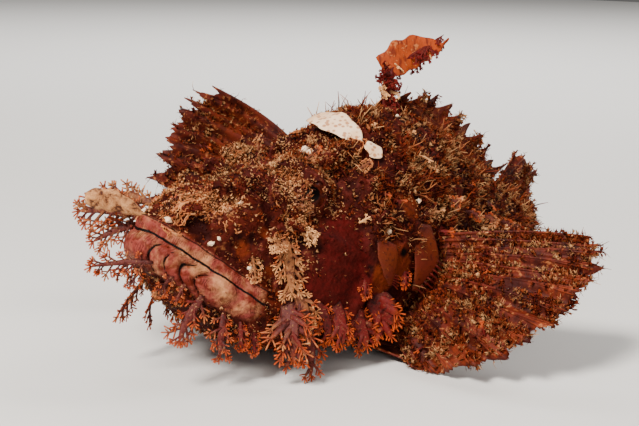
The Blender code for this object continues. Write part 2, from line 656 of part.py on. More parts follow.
def frond(name, root, aim, face, length, width, pairs, hang=0.8, notch=0.36):
    """A lobed plate on a hanging path, with a lobe on each side between its notches."""
    chance = random.Random(name)
    aim, face = aim.normalized(), face.normalized()

    def place(t):
        return root + length * (aim * (t - hang * t * t / 2) + DOWN * (hang * t * t / 2))

    def point(t, half):
        ahead = (place(t + 0.02) - place(t - 0.02)).normalized()
        across = ahead.cross(face).normalized()
        return place(t) + across * half, across.cross(ahead)

    centre, thick = [], []
    for i in range(pairs + 1):
        t = FROND_BODY * i / pairs
        for side in (1, -1):
            centre.append(point(t, side * width / 2 * notch * (1 - 0.35 * t)))
            thick.append(FROND_ROOT)
    for i in range(pairs):
        t = FROND_BODY * (i + 0.5) / pairs
        reach = width / 2 * (0.72 + 0.28 * math.sin(math.pi * t))
        for side in (1, -1):
            lean = t + FROND_BODY / pairs * chance.uniform(0.25, 0.45)
            centre.append(point(lean, side * reach * chance.uniform(0.85, 1.0)))
            thick.append(FROND_TIP)
    centre.append(point(1.0, 0.0))
    thick.append(FROND_TIP)
    first, end = 2 * (pairs + 1), len(centre) - 1
    sheet, left, right = [], [0], [1]
    for i in range(pairs):
        a, b = 2 * i, 2 * i + 2
        tip = first + 2 * i
        sheet += [(a, a + 1, b + 1), (a, b + 1, b), (a, b, tip), (a + 1, tip + 1, b + 1)]
        left += [tip, b]
        right += [tip + 1, b + 1]
    sheet.append((2 * pairs, 2 * pairs + 1, end))
    total = len(centre)
    points = [p + n * d for (p, n), d in zip(centre, thick)]
    points += [p - n * d for (p, n), d in zip(centre, thick)]
    faces = sheet + [tuple(total + k for k in reversed(corners)) for corners in sheet]
    faces += wall(left + [end] + right[::-1], total)
    return mesh_object(name, points, faces)


def thorn(name, root, aim, length, radius, sides=5):
    """A pointed cone."""
    aim = aim.normalized()
    across = aim.orthogonal().normalized()
    over = aim.cross(across)
    turns = [2 * math.pi * k / sides for k in range(sides)]
    points = [root + (across * math.cos(a) + over * math.sin(a)) * radius for a in turns]
    points.append(root + aim * length)
    faces = [tuple(range(sides))] + [(k, (k + 1) % sides, sides) for k in range(sides)]
    return mesh_object(name, points, faces)


def on_skin(tree, place, depth=ROOT_DEPTH):
    """The spot on the body nearest to a place, sunk in by a depth, and the normal there."""
    spot, normal, _, _ = tree.find_nearest(place)
    return spot - normal * depth, normal


def fronds(tree, rows, sign, prefix):
    """Fronds from a table of place, aim, length, width and pairs, on one side of the fish."""
    found = []
    for k, (place, aim, length, width, pairs) in enumerate(rows):
        root, normal = on_skin(tree, at(place[0], sign * place[1], place[2]))
        way = Vector((aim[0], sign * aim[1], aim[2])).normalized()
        face = normal - way * normal.dot(way)
        if face.length < 0.3:
            face = Vector((0, sign, 0)) - way * sign * way.y
        chance = random.Random(f"{prefix}{k}{sign}")
        size = 1.0 if sign > 0 else chance.uniform(0.88, 1.08)
        name = f"{prefix}_{k}_{sign}"
        found.append(frond(name, root, way, face, length * size + ROOT_DEPTH, width * size, pairs))
    return found


def thorns(tree, rows, prefix):
    """Head spines on both sides from a table of place, aim, length and radius."""
    found = []
    for k, (place, aim, length, radius) in enumerate(rows):
        for sign in (1, -1):
            root, _ = on_skin(tree, at(place[0], sign * place[1], place[2]))
            way = Vector((aim[0], sign * aim[1], aim[2]))
            found.append(thorn(f"{prefix}_{k}_{sign}", root, way, length + ROOT_DEPTH, radius))
    return found


def gill_blades(tree, sign):
    """The broad flap over the gill opening, with a comb of filaments on its lower edge."""
    root, _ = on_skin(tree, at(0.0940, sign * 0.0400, 0.0110))
    way = Vector((-0.36, sign * 0.30, -0.84)).normalized()
    face = Vector((0.20, sign, 0.20))
    blade = frond(f"blade_{sign}", root, way, face, BLADE_LENGTH, 0.0190, 4, hang=0.10, notch=0.80)
    across = way.cross(face).normalized() * sign
    combs = []
    for k in range(COMB_TEETH):
        t = 0.40 + 0.55 * k / (COMB_TEETH - 1)
        start = root + way * BLADE_LENGTH * t - across * 0.0050 * (1.15 - t)
        lean = (way * 0.8 - across * 0.6 + Vector((0, 0, -0.3))).normalized()
        combs.append(thorn(f"comb_{sign}_{k}", start, lean, 0.0075, 0.0007, sides=4))
    return [blade, *combs]


def nape_leaf(tree):
    """The pale leaf that lies over the nape, rooted at its rear."""
    root, _ = on_skin(tree, at(*LEAF_ROOT), 0.0015)
    way, face = Vector(LEAF_WAY), Vector(LEAF_FACE)
    return frond("nape_leaf", root, way, face, 0.0225, 0.0110, 3, hang=0.10, notch=0.80)


def flag():
    """The raised spine of the back with its leaf and the tufts of its stalk."""
    foot, top = at(*FLAG_FOOT), at(*FLAG_TOP)
    parts = [tube("stalk", [foot, foot.lerp(top, 0.5), top], [0.0019, 0.0016, 0.0012], sides=7)]
    root, way, face = top - Vector((0, 0, 0.0020)), Vector(FLAG_WAY), Vector(FLAG_FACE)
    parts.append(frond("leaf", root, way, face, 0.0310, 0.0170, 4, hang=0.0, notch=0.70))
    across = Vector((FLAG_FACE[0], FLAG_FACE[1], 0))
    for k, (share, aim) in enumerate(FLAG_TUFTS):
        way = Vector(aim).normalized()
        face = across - way * way.dot(across)
        parts.append(frond(f"tuft_{k}", foot.lerp(top, share), way, face, 0.0105, 0.0070, 2, hang=0.2))
    return parts


def bend_table():
    """Middle line of the posed body: distance back, place, turn and rise."""
    step = 0.002
    place, rows = Vector((-BEND_START, 0, 0)), []
    s = BEND_START
    while s < 0.36:
        t = min(max((s - BEND_START) / (BEND_END - BEND_START), 0), 1)
        turn, rise = TAIL_TURN * t * t, TAIL_LEVEL * t * (2 - t)
        rows.append((s, *place, turn, rise))
        away = Vector((-math.cos(turn) * math.cos(rise), math.sin(turn) * math.cos(rise), math.sin(rise)))
        place = place + away * step
        s += step
    return np.array(rows)


def posed(point, table, bends):
    """Where a point of the straight fish goes in the pose."""
    if bends and -point.x > BEND_START:
        s = -point.x
        x, y, z, turn, rise = (float(np.interp(s, table[:, 0], table[:, c])) for c in range(1, 6))
        side = Vector((math.sin(turn), math.cos(turn), 0))
        away = Vector((-math.cos(turn) * math.cos(rise), math.sin(turn) * math.cos(rise), math.sin(rise)))
        up = side.cross(away)
        point = Vector((x, y, z)) + side * point.y + up * point.z
    c, n = math.cos(HEAD_LIFT), math.sin(HEAD_LIFT)
    return Vector((point.x * c - point.z * n, point.y, point.z * c + point.x * n - FLOOR))


def take_pose(nodes):
    """Bends and lifts every node, trims it at the floor and centres the fish over the origin."""
    table = bend_table()
    for obj in nodes:
        bends = not obj.name.startswith(("pectoral", "pelvic"))
        for vertex in obj.data.vertices:
            vertex.co = posed(vertex.co, table, bends)
        if min(v.co.z for v in obj.data.vertices) < 0:
            corners = ((-1, -1), (1, -1), (1, 1), (-1, 1))
            slab = loft("floor", [[Vector((x, y, z)) for x, y in corners] for z in (-0.1, 0.0)])
            combine(obj, "DIFFERENCE", [slab])
    points = np.array([v.co for obj in nodes for v in obj.data.vertices])
    middle = (points.min(0) + points.max(0)) / 2
    for obj in nodes:
        obj.data.transform(Matrix.Translation((-middle[0], -middle[1], 0)))


def paint(obj):
    """A material of the node's own."""
    colour, roughness = next(look[1:] for look in LOOKS if obj.name.startswith(look[0]))
    material = bpy.data.materials.new(obj.name)
    material.use_nodes = True
    surface = material.node_tree.nodes["Principled BSDF"]
    surface.inputs["Base Color"].default_value = (*colour, 1.0)
    surface.inputs["Roughness"].default_value = roughness
    surface.inputs["Metallic"].default_value = 0.0
    obj.data.materials.clear()
    obj.data.materials.append(material)


def main():
    """Builds the fish."""
    for obj in list(bpy.data.objects):
        bpy.data.objects.remove(obj)
    body = blended_body()
    clear = copy_of(body, "clearance", grow=FIN_GAP)
    tree = BVHTree.FromObject(body, bpy.context.evaluated_depsgraph_get())
    head, jaw, torso, tail = divided_body(body)
    nodes = [head, jaw, torso, tail, *eyes_in_sockets(head)]
    on_head = fronds(tree, RIGHT_HEAD_FRONDS, -1, "big") + thorns(tree, HEAD_THORNS, "thorn")
    on_head.append(nape_leaf(tree))
    on_jaw = fronds(tree, RIGHT_JAW_FRONDS, -1, "front")
    on_torso = []
    for sign in (1, -1):
        on_head += fronds(tree, HEAD_FRONDS, sign, "tassel") + gill_blades(tree, sign)
        on_jaw += fronds(tree, JAW_FRONDS, sign, "chin")
        on_torso += fronds(tree, TORSO_FRONDS, sign, "flap")
    combine(head, "UNION", on_head, "EXACT")
    combine(jaw, "UNION", on_jaw, "EXACT")
    combine(torso, "UNION", on_torso, "EXACT")
    fins = [middle_fin(*row) for row in MIDDLE_FINS]
    fins.append(tail_fin("tail_fin"))
    fins += [pectoral_fin(*row) for row in PECTORAL_FINS]
    fins += [pelvic_fin("pelvic_fin_left", 1), pelvic_fin("pelvic_fin_right", -1)]
    combine(fins[0], "UNION", flag(), "EXACT")
    for obj in fins:
        combine(obj, "DIFFERENCE", [copy_of(clear, "clear")])
    nodes += fins
    remove([body, clear])
    take_pose(nodes)
    for obj in nodes:
        paint(obj)
    return nodes


main()
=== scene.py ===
"""The looks of a tasselled scorpionfish at life size, resting on a flat floor with its head raised.

The fish is shaped straight first. Its own frame has the tip of the upper lip at the origin, +X ahead,
+Y to the fish's left and +Z up, and a place on it is written at(back, side, up). posed() then bends the
tail, lifts the head and sets the fish on the floor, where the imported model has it.
"""

import json
import math
import random

import bmesh
import bpy
import numpy as np
from bpy.props import FloatProperty, FloatVectorProperty, IntProperty, PointerProperty
from mathutils import Matrix, Vector, noise
from mathutils.bvhtree import BVHTree

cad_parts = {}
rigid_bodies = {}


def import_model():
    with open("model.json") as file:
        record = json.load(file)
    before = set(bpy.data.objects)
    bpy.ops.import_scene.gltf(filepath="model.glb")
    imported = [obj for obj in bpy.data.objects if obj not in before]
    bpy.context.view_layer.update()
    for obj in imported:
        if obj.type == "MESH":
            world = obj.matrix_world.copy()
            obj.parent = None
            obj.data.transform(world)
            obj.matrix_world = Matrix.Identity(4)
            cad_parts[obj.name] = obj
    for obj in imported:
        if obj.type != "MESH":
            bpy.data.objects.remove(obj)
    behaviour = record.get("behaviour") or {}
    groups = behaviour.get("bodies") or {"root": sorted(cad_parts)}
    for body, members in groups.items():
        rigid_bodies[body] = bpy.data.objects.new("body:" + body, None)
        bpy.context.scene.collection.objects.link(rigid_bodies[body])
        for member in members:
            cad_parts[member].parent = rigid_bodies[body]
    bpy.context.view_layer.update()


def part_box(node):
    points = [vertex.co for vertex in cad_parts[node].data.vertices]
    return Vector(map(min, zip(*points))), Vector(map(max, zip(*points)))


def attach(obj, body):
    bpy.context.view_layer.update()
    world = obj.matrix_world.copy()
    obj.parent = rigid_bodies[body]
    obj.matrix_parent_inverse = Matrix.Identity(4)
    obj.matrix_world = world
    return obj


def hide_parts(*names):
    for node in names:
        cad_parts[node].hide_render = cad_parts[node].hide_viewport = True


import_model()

bl_info = {
    "name": "Tasselled scorpionfish model",
    "version": (1, 0, 0),
    "blender": (4, 5, 0),
    "location": "3D View > Sidebar > Scorpionfish",
    "description": "Skin, eyes, fins, tassels and coat of a life-size scorpionfish, with its stage",
    "category": "Add Mesh",
}

BODY = "root"

# Stations of the trunk: back from the lip, half width, top, bottom and height of the widest line.
TRUNK = (
    (0.004, 0.007, 0.006, -0.006, 0.0),
    (0.012, 0.014, 0.0115, -0.016, -0.002),
    (0.025, 0.0205, 0.018, -0.0265, -0.005),
    (0.04, 0.0265, 0.023, -0.035, -0.008),
    (0.055, 0.031, 0.0265, -0.04, -0.009),
    (0.07, 0.0345, 0.0325, -0.0425, -0.008),
    (0.085, 0.037, 0.0455, -0.0435, -0.006),
    (0.1, 0.037, 0.0535, -0.043, -0.004),
    (0.12, 0.034, 0.0545, -0.041, -0.002),
    (0.145, 0.028, 0.0465, -0.036, -0.001),
    (0.17, 0.0215, 0.035, -0.0285, -0.001),
    (0.195, 0.0145, 0.0228, -0.0195, 0.0),
    (0.215, 0.01, 0.015, -0.014, 0.0),
    (0.235, 0.007, 0.0125, -0.012, 0.0),
    (0.254, 0.0045, 0.012, -0.012, 0.0),
)
BODY_LENGTH = 0.306
SECTION_POINTS = 48
TUBE_SIDES = 14

# The mouth: a parabola in plan that slopes down to its corners.
MOUTH_LENGTH = 0.045
MOUTH_HALF_WIDTH = 0.0262
MOUTH_TOP = -0.001
MOUTH_DROP = 0.025
LIP_FOLD = 0.0062
JAW_DEPTH = 0.0165
LIP_WRINKLE = 0.001
LIP_CREASES = ((0.0105, 0.0011), (0.0185, 0.0007), (0.026, 0.0009), (0.033, 0.0007))
LIP_STEPS = 25

EYE_CENTRE = (0.057, 0.0208, 0.0188)
EYE_GAZE = (0.34, 0.9, 0.12)
# The ring of the lids: half width, half height and place ahead of the eye's middle, in radii of the eye.
LID_RING = (0.72, 0.84, 0.58)
LID_HALF = 0.0015
LID_THICK = 0.001

# The pose.
HEAD_LIFT = math.radians(10)
BEND_START = 0.128
BEND_END = 0.262
BEND_REACH = 0.36
BEND_STEP = 0.002
TAIL_TURN = math.radians(-48)
TAIL_LEVEL = math.radians(7)
FLOOR = -0.06
DOWN = np.array((-math.sin(HEAD_LIFT), 0.0, -math.cos(HEAD_LIFT)))

GILL_LINE = (
    (0.09, 0.034), (0.102, 0.022), (0.1125, 0.01), (0.115, 0.002), (0.111, -0.009),
    (0.103, -0.021), (0.093, -0.032), (0.08, -0.041),
)
FLAP_ARC = ((0.086, 0.017), (0.0815, 0.011), (0.081, 0.004), (0.085, -0.002), (0.091, -0.005))

# The camera: its direction from the head, its roll, its distance and its shift across the view.
CAMERA_AZIMUTH = math.radians(50.5)
CAMERA_HEIGHT = math.radians(12)
CAMERA_ROLL = math.radians(1)
CAMERA_DISTANCE = 0.475
CAMERA_SHIFT = (0.0148, -0.003)
CAMERA_TARGET = (-0.0645, 0.0, 0.06)
CAMERA_ANGLE = math.radians(30)
CAMERA_CLIP = (0.01, 10.0)

COAT_LIMIT = 190000
PATCH = 0.003
FLOOR_CLEARANCE = 0.0003


def at(back, side, up):
    """A place on the straight fish."""
    return Vector((-back, side, up))


def beside(place, sign):
    """A place (back, side, up) on the left side of the straight fish, or on the right for a sign of -1."""
    return at(place[0], sign * place[1], place[2])


def handed(way, sign):
    """A direction of the left side, or its mirror for a sign of -1."""
    return Vector((way[0], sign * way[1], way[2]))


class FishSizes(bpy.types.PropertyGroup):
    """Sizes that set how fine and how shaggy the fish is."""

    skin_grain: FloatProperty(
        name="Skin grain", description="Edge of the cells that blend the skin", default=0.0009, unit="LENGTH"
    )
    relief: FloatProperty(
        name="Relief", description="Height of the skin's small bumps", default=0.001, unit="LENGTH"
    )
    eye_radius: FloatProperty(
        name="Eye radius", description="Radius of each eyeball", default=0.0086, unit="LENGTH"
    )
    thread_length: FloatProperty(
        name="Thread length", description="Length of the longest skin threads", default=0.0058, unit="LENGTH"
    )
    flap_length: FloatProperty(
        name="Flap length", description="Length of the largest small skin flaps",
        default=0.0034, unit="LENGTH"
    )
    thread_count: IntProperty(name="Threads", description="Skin threads in all", default=9000)
    flap_count: IntProperty(name="Flaps", description="Small skin flaps in all", default=10000)
    crust_count: IntProperty(name="Crust grains", description="Pale crust grains in all", default=2600)
    curl_count: IntProperty(name="Curls", description="Curled crust ridges in all", default=4800)
    sprig_count: IntProperty(name="Sprigs", description="Small tassels on the body", default=90)


class FishColours(bpy.types.PropertyGroup):
    """Colours of the skin and of what grows on it."""

    umber: FloatVectorProperty(
        name="Umber", description="Dark ground of the skin", subtype="COLOR", default=(0.024, 0.0016, 0.0007)
    )
    russet: FloatVectorProperty(
        name="Russet", description="Red-brown of the skin", subtype="COLOR", default=(0.09, 0.01, 0.004)
    )
    orange: FloatVectorProperty(
        name="Orange", description="Gill covers and tips", subtype="COLOR", default=(0.23, 0.032, 0.0035)
    )
    tan: FloatVectorProperty(
        name="Tan", description="Tips of the tufts", subtype="COLOR", default=(0.44, 0.15, 0.048)
    )
    red: FloatVectorProperty(
        name="Red", description="Low tassels and combs", subtype="COLOR", default=(0.17, 0.007, 0.005)
    )
    mauve: FloatVectorProperty(
        name="Mauve", description="Lips and tassels", subtype="COLOR", default=(0.2, 0.036, 0.028)
    )
    plum: FloatVectorProperty(
        name="Plum", description="Smooth cheeks", subtype="COLOR", default=(0.058, 0.0024, 0.0018)
    )
    cream: FloatVectorProperty(
        name="Cream", description="Pale crust", subtype="COLOR", default=(0.68, 0.34, 0.14)
    )
    chalk: FloatVectorProperty(
        name="Chalk", description="White chips and leaf", subtype="COLOR", default=(0.88, 0.68, 0.48)
    )
    # Painted shade: near-black laid into hollows, creases, the mouth line and the low parts of the skin's
    # relief.
    hollow_shade: FloatVectorProperty(
        name="Pit", description="Hollows", subtype="COLOR", default=(0.002, 0.0005, 0.0005)
    )
    floor: FloatVectorProperty(
        name="Floor", description="Floor of the stage", subtype="COLOR", default=(0.72, 0.71, 0.69)
    )


# Bent and lifted places.

def bend_table():
    """Middle line of the bent body: distance back, place, turn and rise."""
    place, rows = Vector((-BEND_START, 0, 0)), []
    s = BEND_START
    while s < BEND_REACH:
        t = min(max((s - BEND_START) / (BEND_END - BEND_START), 0), 1)
        turn, rise = TAIL_TURN * t * t, TAIL_LEVEL * t * (2 - t)
        rows.append((s, *place, turn, rise))
        away = Vector((-math.cos(turn) * math.cos(rise), math.sin(turn) * math.cos(rise), math.sin(rise)))
        place = place + away * BEND_STEP
        s += BEND_STEP
    return np.array(rows)


BEND = bend_table()


def lifted(points, bends=True):
    """Where points of the straight fish go in the pose, before the fish is set over the origin."""
    points = np.array(points, dtype=float).reshape(-1, 3)
    back = -points[:, 0]
    if bends:
        x, y, z, turn, rise = (np.interp(back, BEND[:, 0], BEND[:, c]) for c in range(1, 6))
        side = np.stack((np.sin(turn), np.cos(turn), np.zeros_like(turn)), 1)
        away = np.stack((-np.cos(turn) * np.cos(rise), np.sin(turn) * np.cos(rise), np.sin(rise)), 1)
        bent = np.stack((x, y, z), 1) + side * points[:, 1:2] + np.cross(side, away) * points[:, 2:3]
        points = np.where((back > BEND_START)[:, None], bent, points)
    c, n = math.cos(HEAD_LIFT), math.sin(HEAD_LIFT)
    x, y, z = points.T
    return np.stack((x * c - z * n, y, z * c + x * n - FLOOR), 1)


def middle_of(node):
    """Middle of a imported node's box."""
    low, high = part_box(node)
    return (np.array(low) + np.array(high)) / 2


OFFSET = middle_of("eye_left") - lifted([at(*EYE_CENTRE)])[0]
OFFSET[2] = 0.0


def posed(points, bends=True):
    """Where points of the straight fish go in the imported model."""
    return lifted(points, bends) + OFFSET


def unit(rows):
    """Rows of an array made one long."""
    return rows / np.maximum(np.linalg.norm(rows, axis=-1, keepdims=True), 1e-12)


# Small forms and the meshes gathered from them.

def rolled(rings):
    """A closed form through rings of equal counts: a grid rolled up and capped."""
    count, sides = len(rings), len(rings[0])
    form = bmesh.new()
    bmesh.ops.create_grid(form, x_segments=count - 1, y_segments=sides, size=1.0)
    for vertex in form.verts:
        ring = round((vertex.co.x + 1) / 2 * (count - 1))
        place = round((vertex.co.y + 1) / 2 * sides) % sides
        vertex.co = rings[ring][place]
    bmesh.ops.remove_doubles(form, verts=form.verts, dist=1e-7)
    bmesh.ops.holes_fill(form, edges=[e for e in form.edges if e.is_boundary], sides=0)
    bmesh.ops.recalc_face_normals(form, faces=form.faces)
    return form


def as_arrays(form):
    """Places and triangles of a bmesh, which is freed."""
    bmesh.ops.triangulate(form, faces=form.faces)
    form.verts.index_update()
    points = np.array([v.co for v in form.verts])
    faces = np.array([[v.index for v in f.verts] for f in form.faces])
    form.free()
    return points, faces


def rod(sides, ends):
    """A blunt rod of length 1 and radius 1 along +X. Ends are pairs of place and radius."""
    rings = []
    for x, r in ends:
        turns = [2 * math.pi * k / sides for k in range(sides)]
        rings.append([Vector((x, r * math.cos(a), r * math.sin(a))) for a in turns])
    return as_arrays(rolled(rings))


STEM = rod(8, (
    (0.0, 0.6), (0.05, 1.0), (0.14, 1.0), (0.3, 1.0), (0.45, 1.0),
    (0.6, 1.0), (0.75, 1.0), (0.9, 0.9), (0.97, 0.6), (1.0, 0.2),
))
LIMB = rod(5, ((0.0, 1.0), (0.35, 0.9), (0.75, 1.0), (1.0, 0.5)))
FINGER = rod(4, ((0.0, 0.8), (0.45, 0.85), (0.88, 1.1), (1.0, 0.4)))
HAIR = rod(3, ((0.0, 1.0), (0.5, 0.85), (1.0, 0.35)))
CURL = rod(3, ((0.0, 0.5), (0.2, 1.0), (0.4, 1.0), (0.6, 1.0), (0.8, 1.0), (1.0, 0.4)))
LACE_ROD = rod(5, tuple((k / 20, 1.0) for k in range(21)))
RING = rod(10, tuple((k / 32, 1.0) for k in range(33)))
BLADE_STEPS = 25
PLATE = rod(20, tuple((k / (BLADE_STEPS - 1), 1.0) for k in range(BLADE_STEPS)))


class Heap:
    """Many small forms gathered into one mesh, with what its material reads at each vertex."""

    def __init__(self):
        self.points, self.faces, self.tips, self.zones, self.shades, self.patches = [], [], [], [], [], []
        self.count = 0

    def add(self, points, faces, tip, zone=None, shade=0.5, patch=None):
        """Adds one form. Tip runs from 0 at its root to 1 at its tip."""
        size = len(points)
        self.points.append(points)
        self.faces.append(faces + self.count)
        self.tips.append(np.broadcast_to(tip, size))
        self.zones.append(np.broadcast_to(np.zeros(6) if zone is None else zone, (size, 6)))
        self.shades.append(np.broadcast_to(shade, size))
        self.patches.append(np.zeros((size, 2)) if patch is None else patch)
        self.count += size

    def bend(self, form, line, across, wide, thick, tip=(0.0, 1.0), zone=None, shade=0.5, wide_left=None):
        """Adds a rod laid along a line. Across is the way its width lies; wide and thick are half sizes."""
        points, faces = form
        line = np.array(line)
        steps = np.linspace(0, 1, len(line))
        ahead = unit(np.gradient(line, axis=0))
        across = np.array(np.broadcast_to(across, line.shape))
        across = unit(across - ahead * np.sum(across * ahead, 1, keepdims=True))
        up = np.cross(ahead, across)
        wide, thick = (np.array(np.broadcast_to(size, len(line)), dtype=float) for size in (wide, thick))
        left = wide if wide_left is None else np.array(np.broadcast_to(wide_left, len(line)), dtype=float)

        def along(values):
            if values.ndim == 1:
                return np.interp(points[:, 0], steps, values)
            return np.stack([np.interp(points[:, 0], steps, values[:, c]) for c in range(3)], 1)

        half = np.where(points[:, 1] > 0, along(wide), along(left))
        places = along(line) + along(across) * (points[:, 1] * half)[:, None]
        places += along(up) * (points[:, 2] * along(thick))[:, None]
        self.add(places, faces, tip[0] + (tip[1] - tip[0]) * points[:, 0], zone, shade)

    def many(self, form, tips, roots, axes, sizes, zones, shades, patches):
        """Adds one form at many roots. Axes hold the form's X, Y and Z for each root."""
        points, faces = form
        count, size = len(roots), len(points)
        if not count:
            return
        places = roots[:, None, :] + np.einsum("vk,nkc->nvc", points, axes) * sizes[:, None, None]
        every = faces[None] + (np.arange(count) * size)[:, None, None]
        spread = PATCH * (points[None, :, :2] * (1.0, 0.5) + (0.0, 0.5))
        spots = patches[:, None, :] + spread / max(1.0, np.abs(points).max())
        self.add(
            places.reshape(-1, 3), every.reshape(-1, 3), np.tile(tips, count),
            np.repeat(zones, size, axis=0), np.repeat(shades, size), spots.reshape(-1, 2),
        )

    def pose(self, bends=True):
        """Takes what was added so far from the straight fish to the pose."""
        self.points = [posed(np.concatenate(self.points), bends)]
        return self

    def make(self, name, look, slot, coat=False):
        """The mesh object, riding on the fish's body, with its material. Its slot is not used."""
        points = np.concatenate(self.points)
        points[:, 2] = np.maximum(points[:, 2], FLOOR_CLEARANCE)
        faces = np.concatenate(self.faces)
        mesh = bpy.data.meshes.new(name)
        mesh.vertices.add(len(points))
        mesh.vertices.foreach_set("co", points.ravel())
        mesh.loops.add(faces.size)
        mesh.loops.foreach_set("vertex_index", faces.ravel().astype(np.int32))
        mesh.polygons.add(len(faces))
        mesh.polygons.foreach_set("loop_start", np.arange(0, faces.size, 3, dtype=np.int32))
        mesh.update(calc_edges=True)
        mesh.validate()
        mesh.shade_smooth()
        store(mesh, "tip", np.concatenate(self.tips))
        store(mesh, "shade", np.concatenate(self.shades))
        store_zones(mesh, np.concatenate(self.zones))
        if coat:
            layer = mesh.uv_layers.new(name="OFBake")
            corners = np.concatenate(self.patches)[faces.ravel()]
            layer.uv.foreach_set("vector", corners.ravel().astype(np.float32))
        made = piece(name, mesh, material(look))
        return made


def store(mesh, name, values):
    """One number at each vertex."""
    mesh.attributes.new(name, "FLOAT", "POINT").data.foreach_set("value", values.astype(np.float32))


def store_places(mesh, straight):
    """The place of each vertex on the straight fish."""
    data = mesh.attributes.new("straight", "FLOAT_VECTOR", "POINT").data
    data.foreach_set("vector", straight.ravel().astype(np.float32))


def store_zones(mesh, zones):
    """The six zones at each vertex, as two colours."""
    for name, columns in (("zone_a", zones[:, :3]), ("zone_b", zones[:, 3:])):
        colours = np.concatenate((columns, np.ones((len(columns), 1))), 1)
        data = mesh.attributes.new(name, "FLOAT_COLOR", "POINT").data
        data.foreach_set("color", colours.ravel().astype(np.float32))


def piece(name, mesh, material):
    """An object of the fish, with its material."""
    if name in bpy.data.objects:
        raise RuntimeError(f"{name} is made already")
    obj = bpy.data.objects.new(name, mesh)
    bpy.context.scene.collection.objects.link(obj)
    mesh.materials.clear()
    mesh.materials.append(material)
    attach(obj, BODY)
    return obj


# Markings of the skin, with its hollows painted dark as shade, as places on the straight fish.

ZONES = ("lip", "pale", "dark", "rust", "plum", "mauve")
# Rows: place (back, side, up), radius and strength. A row counts on both sides of the fish.
SPOTS = {
    "pale": (
        ((0.0063, 0.0034, 0.0086), 0.0045, 0.8), ((0.0124, 0.005, 0.0125), 0.006, 0.9),
        ((0.018, 0.0107, 0.0125), 0.0055, 0.9), ((0.024, 0.016, 0.01), 0.005, 0.9),
        ((0.0305, 0.0155, 0.013), 0.004, 0.8), ((0.0494, 0.0261, 0.0226), 0.0052, 1.0),
        ((0.0455, 0.0235, 0.0265), 0.0046, 1.0), ((0.0526, 0.0281, 0.0155), 0.0036, 1.0),
        ((0.0524, 0.0281, 0.009), 0.0034, 1.0), ((0.0485, 0.0133, 0.0284), 0.0055, 1.0),
        ((0.0455, 0.0269, 0.0005), 0.004, 0.8), ((0.07, 0.0175, 0.029), 0.006, 0.4),
        ((0.095, 0.02, 0.04), 0.006, 0.6), ((0.101, 0.033, 0.026), 0.006, 0.5),
        ((0.0886, 0.037, 0.0085), 0.0034, 0.5), ((0.118, 0.033, 0.016), 0.006, 0.5),
        ((0.161, 0.0227, 0.0075), 0.012, 0.4),
        ((0.076, 0.008, 0.04), 0.008, 0.5), ((0.069, 0.02, 0.03), 0.006, 0.5),
    ),
    # The dark rows lie in hollows of the snout, brow, eyes, cheeks, nape and gill groove, painted near-black
    # there as shade; before the eyes they are also the skin's own dark marks.
    "dark": (
        ((0.0146, 0.0125, 0.0036), 0.0054, 1.0), ((0.0508, 0.0294, 0.0016), 0.0038, 1.0),
        ((0.089, 0.0385, 0.008), 0.0056, 0.8), ((0.0345, 0.019, 0.011), 0.005, 0.65),
        ((0.069, 0.0, 0.035), 0.01, 0.8), ((0.0405, 0.004, 0.02), 0.007, 0.6),
        ((0.064, 0.03, 0.012), 0.004, 0.5), ((0.0961, 0.0385, 0.001), 0.003, 0.8),
        ((0.0389, 0.0186, 0.0131), 0.004, 0.6), ((0.085, 0.015, 0.04), 0.004, 0.6),
    ),
    "rust": (
        ((0.0925, 0.0394, -0.004), 0.0085, 1.0), ((0.088, 0.0385, -0.009), 0.007, 0.9),
        ((0.1, 0.0345, 0.019), 0.0062, 0.9), ((0.03, 0.022, -0.003), 0.005, 0.6),
        ((0.0597, 0.0231, 0.0278), 0.0028, 0.9), ((0.0382, 0.0231, 0.0033), 0.0026, 0.8),
        ((0.0408, 0.0256, -0.0105), 0.003, 0.7),
    ),
    "plum": (
        ((0.0685, 0.0344, 0.004), 0.011, 1.0), ((0.0688, 0.0367, -0.0072), 0.013, 1.0),
        ((0.0781, 0.0376, -0.0185), 0.012, 1.0), ((0.0587, 0.0358, -0.0152), 0.009, 0.9),
        ((0.062, 0.03, -0.03), 0.015, 0.8), ((0.0708, 0.0306, 0.0092), 0.006, 0.8),
    ),
    "mauve": (
        ((0.0624, 0.0107, 0.0271), 0.007, 0.9), ((0.0385, 0.0163, 0.0241), 0.007, 0.9),
        ((0.1125, 0.0333, 0.0192), 0.005, 0.8), ((0.0765, 0.024, 0.0221), 0.005, 0.7),
        ((0.055, 0.006, 0.026), 0.008, 0.7),
    ),
}


def mouth_height(s):
    """Height of the mouth line at s."""
    return MOUTH_TOP - MOUTH_DROP * np.maximum(s, 0.0) / MOUTH_LENGTH


def mouth_path(shift, lift, steps=LIP_STEPS, reach=1.0):
    """The line of a lip from the left corner round the tip to the right corner."""
    path = []
    for k in range(steps):
        t = reach * (1 - 2 * k / (steps - 1))
        s = MOUTH_LENGTH * t * t + shift
        path.append(at(s, MOUTH_HALF_WIDTH * t, mouth_height(MOUTH_LENGTH * t * t) + lift))
    return path


def lip_places(points):
    """Height over the mouth line, length along the lip from its tip, and how far ahead of its corner."""
    back = -points[:, 0]
    gap = points[:, 2] - mouth_height(back)
    turns = np.linspace(0, 1.3, 60)
    steps = np.hypot(2 * MOUTH_LENGTH * turns[1:], MOUTH_HALF_WIDTH) * turns[1]
    arcs = np.concatenate(((0,), np.cumsum(steps)))
    along = np.interp(np.abs(points[:, 1]) / MOUTH_HALF_WIDTH, turns, arcs)
    return gap, along, np.clip((0.0415 - back) / 0.006, 0, 1)


def lip_creases(gap, along):
    """0 to 1 in the folds that cross the lower lip."""
    deep = np.zeros(len(gap))
    for place, width in LIP_CREASES:
        bowed = along - place - 0.35 * (gap + 0.007) - 26 * (gap + 0.007) ** 2
        deep = np.maximum(deep, np.exp(-((bowed / width) ** 2)))
    return deep * np.clip(-gap / 0.002, 0, 1) * np.clip((gap + 0.016) / 0.004, 0, 1)


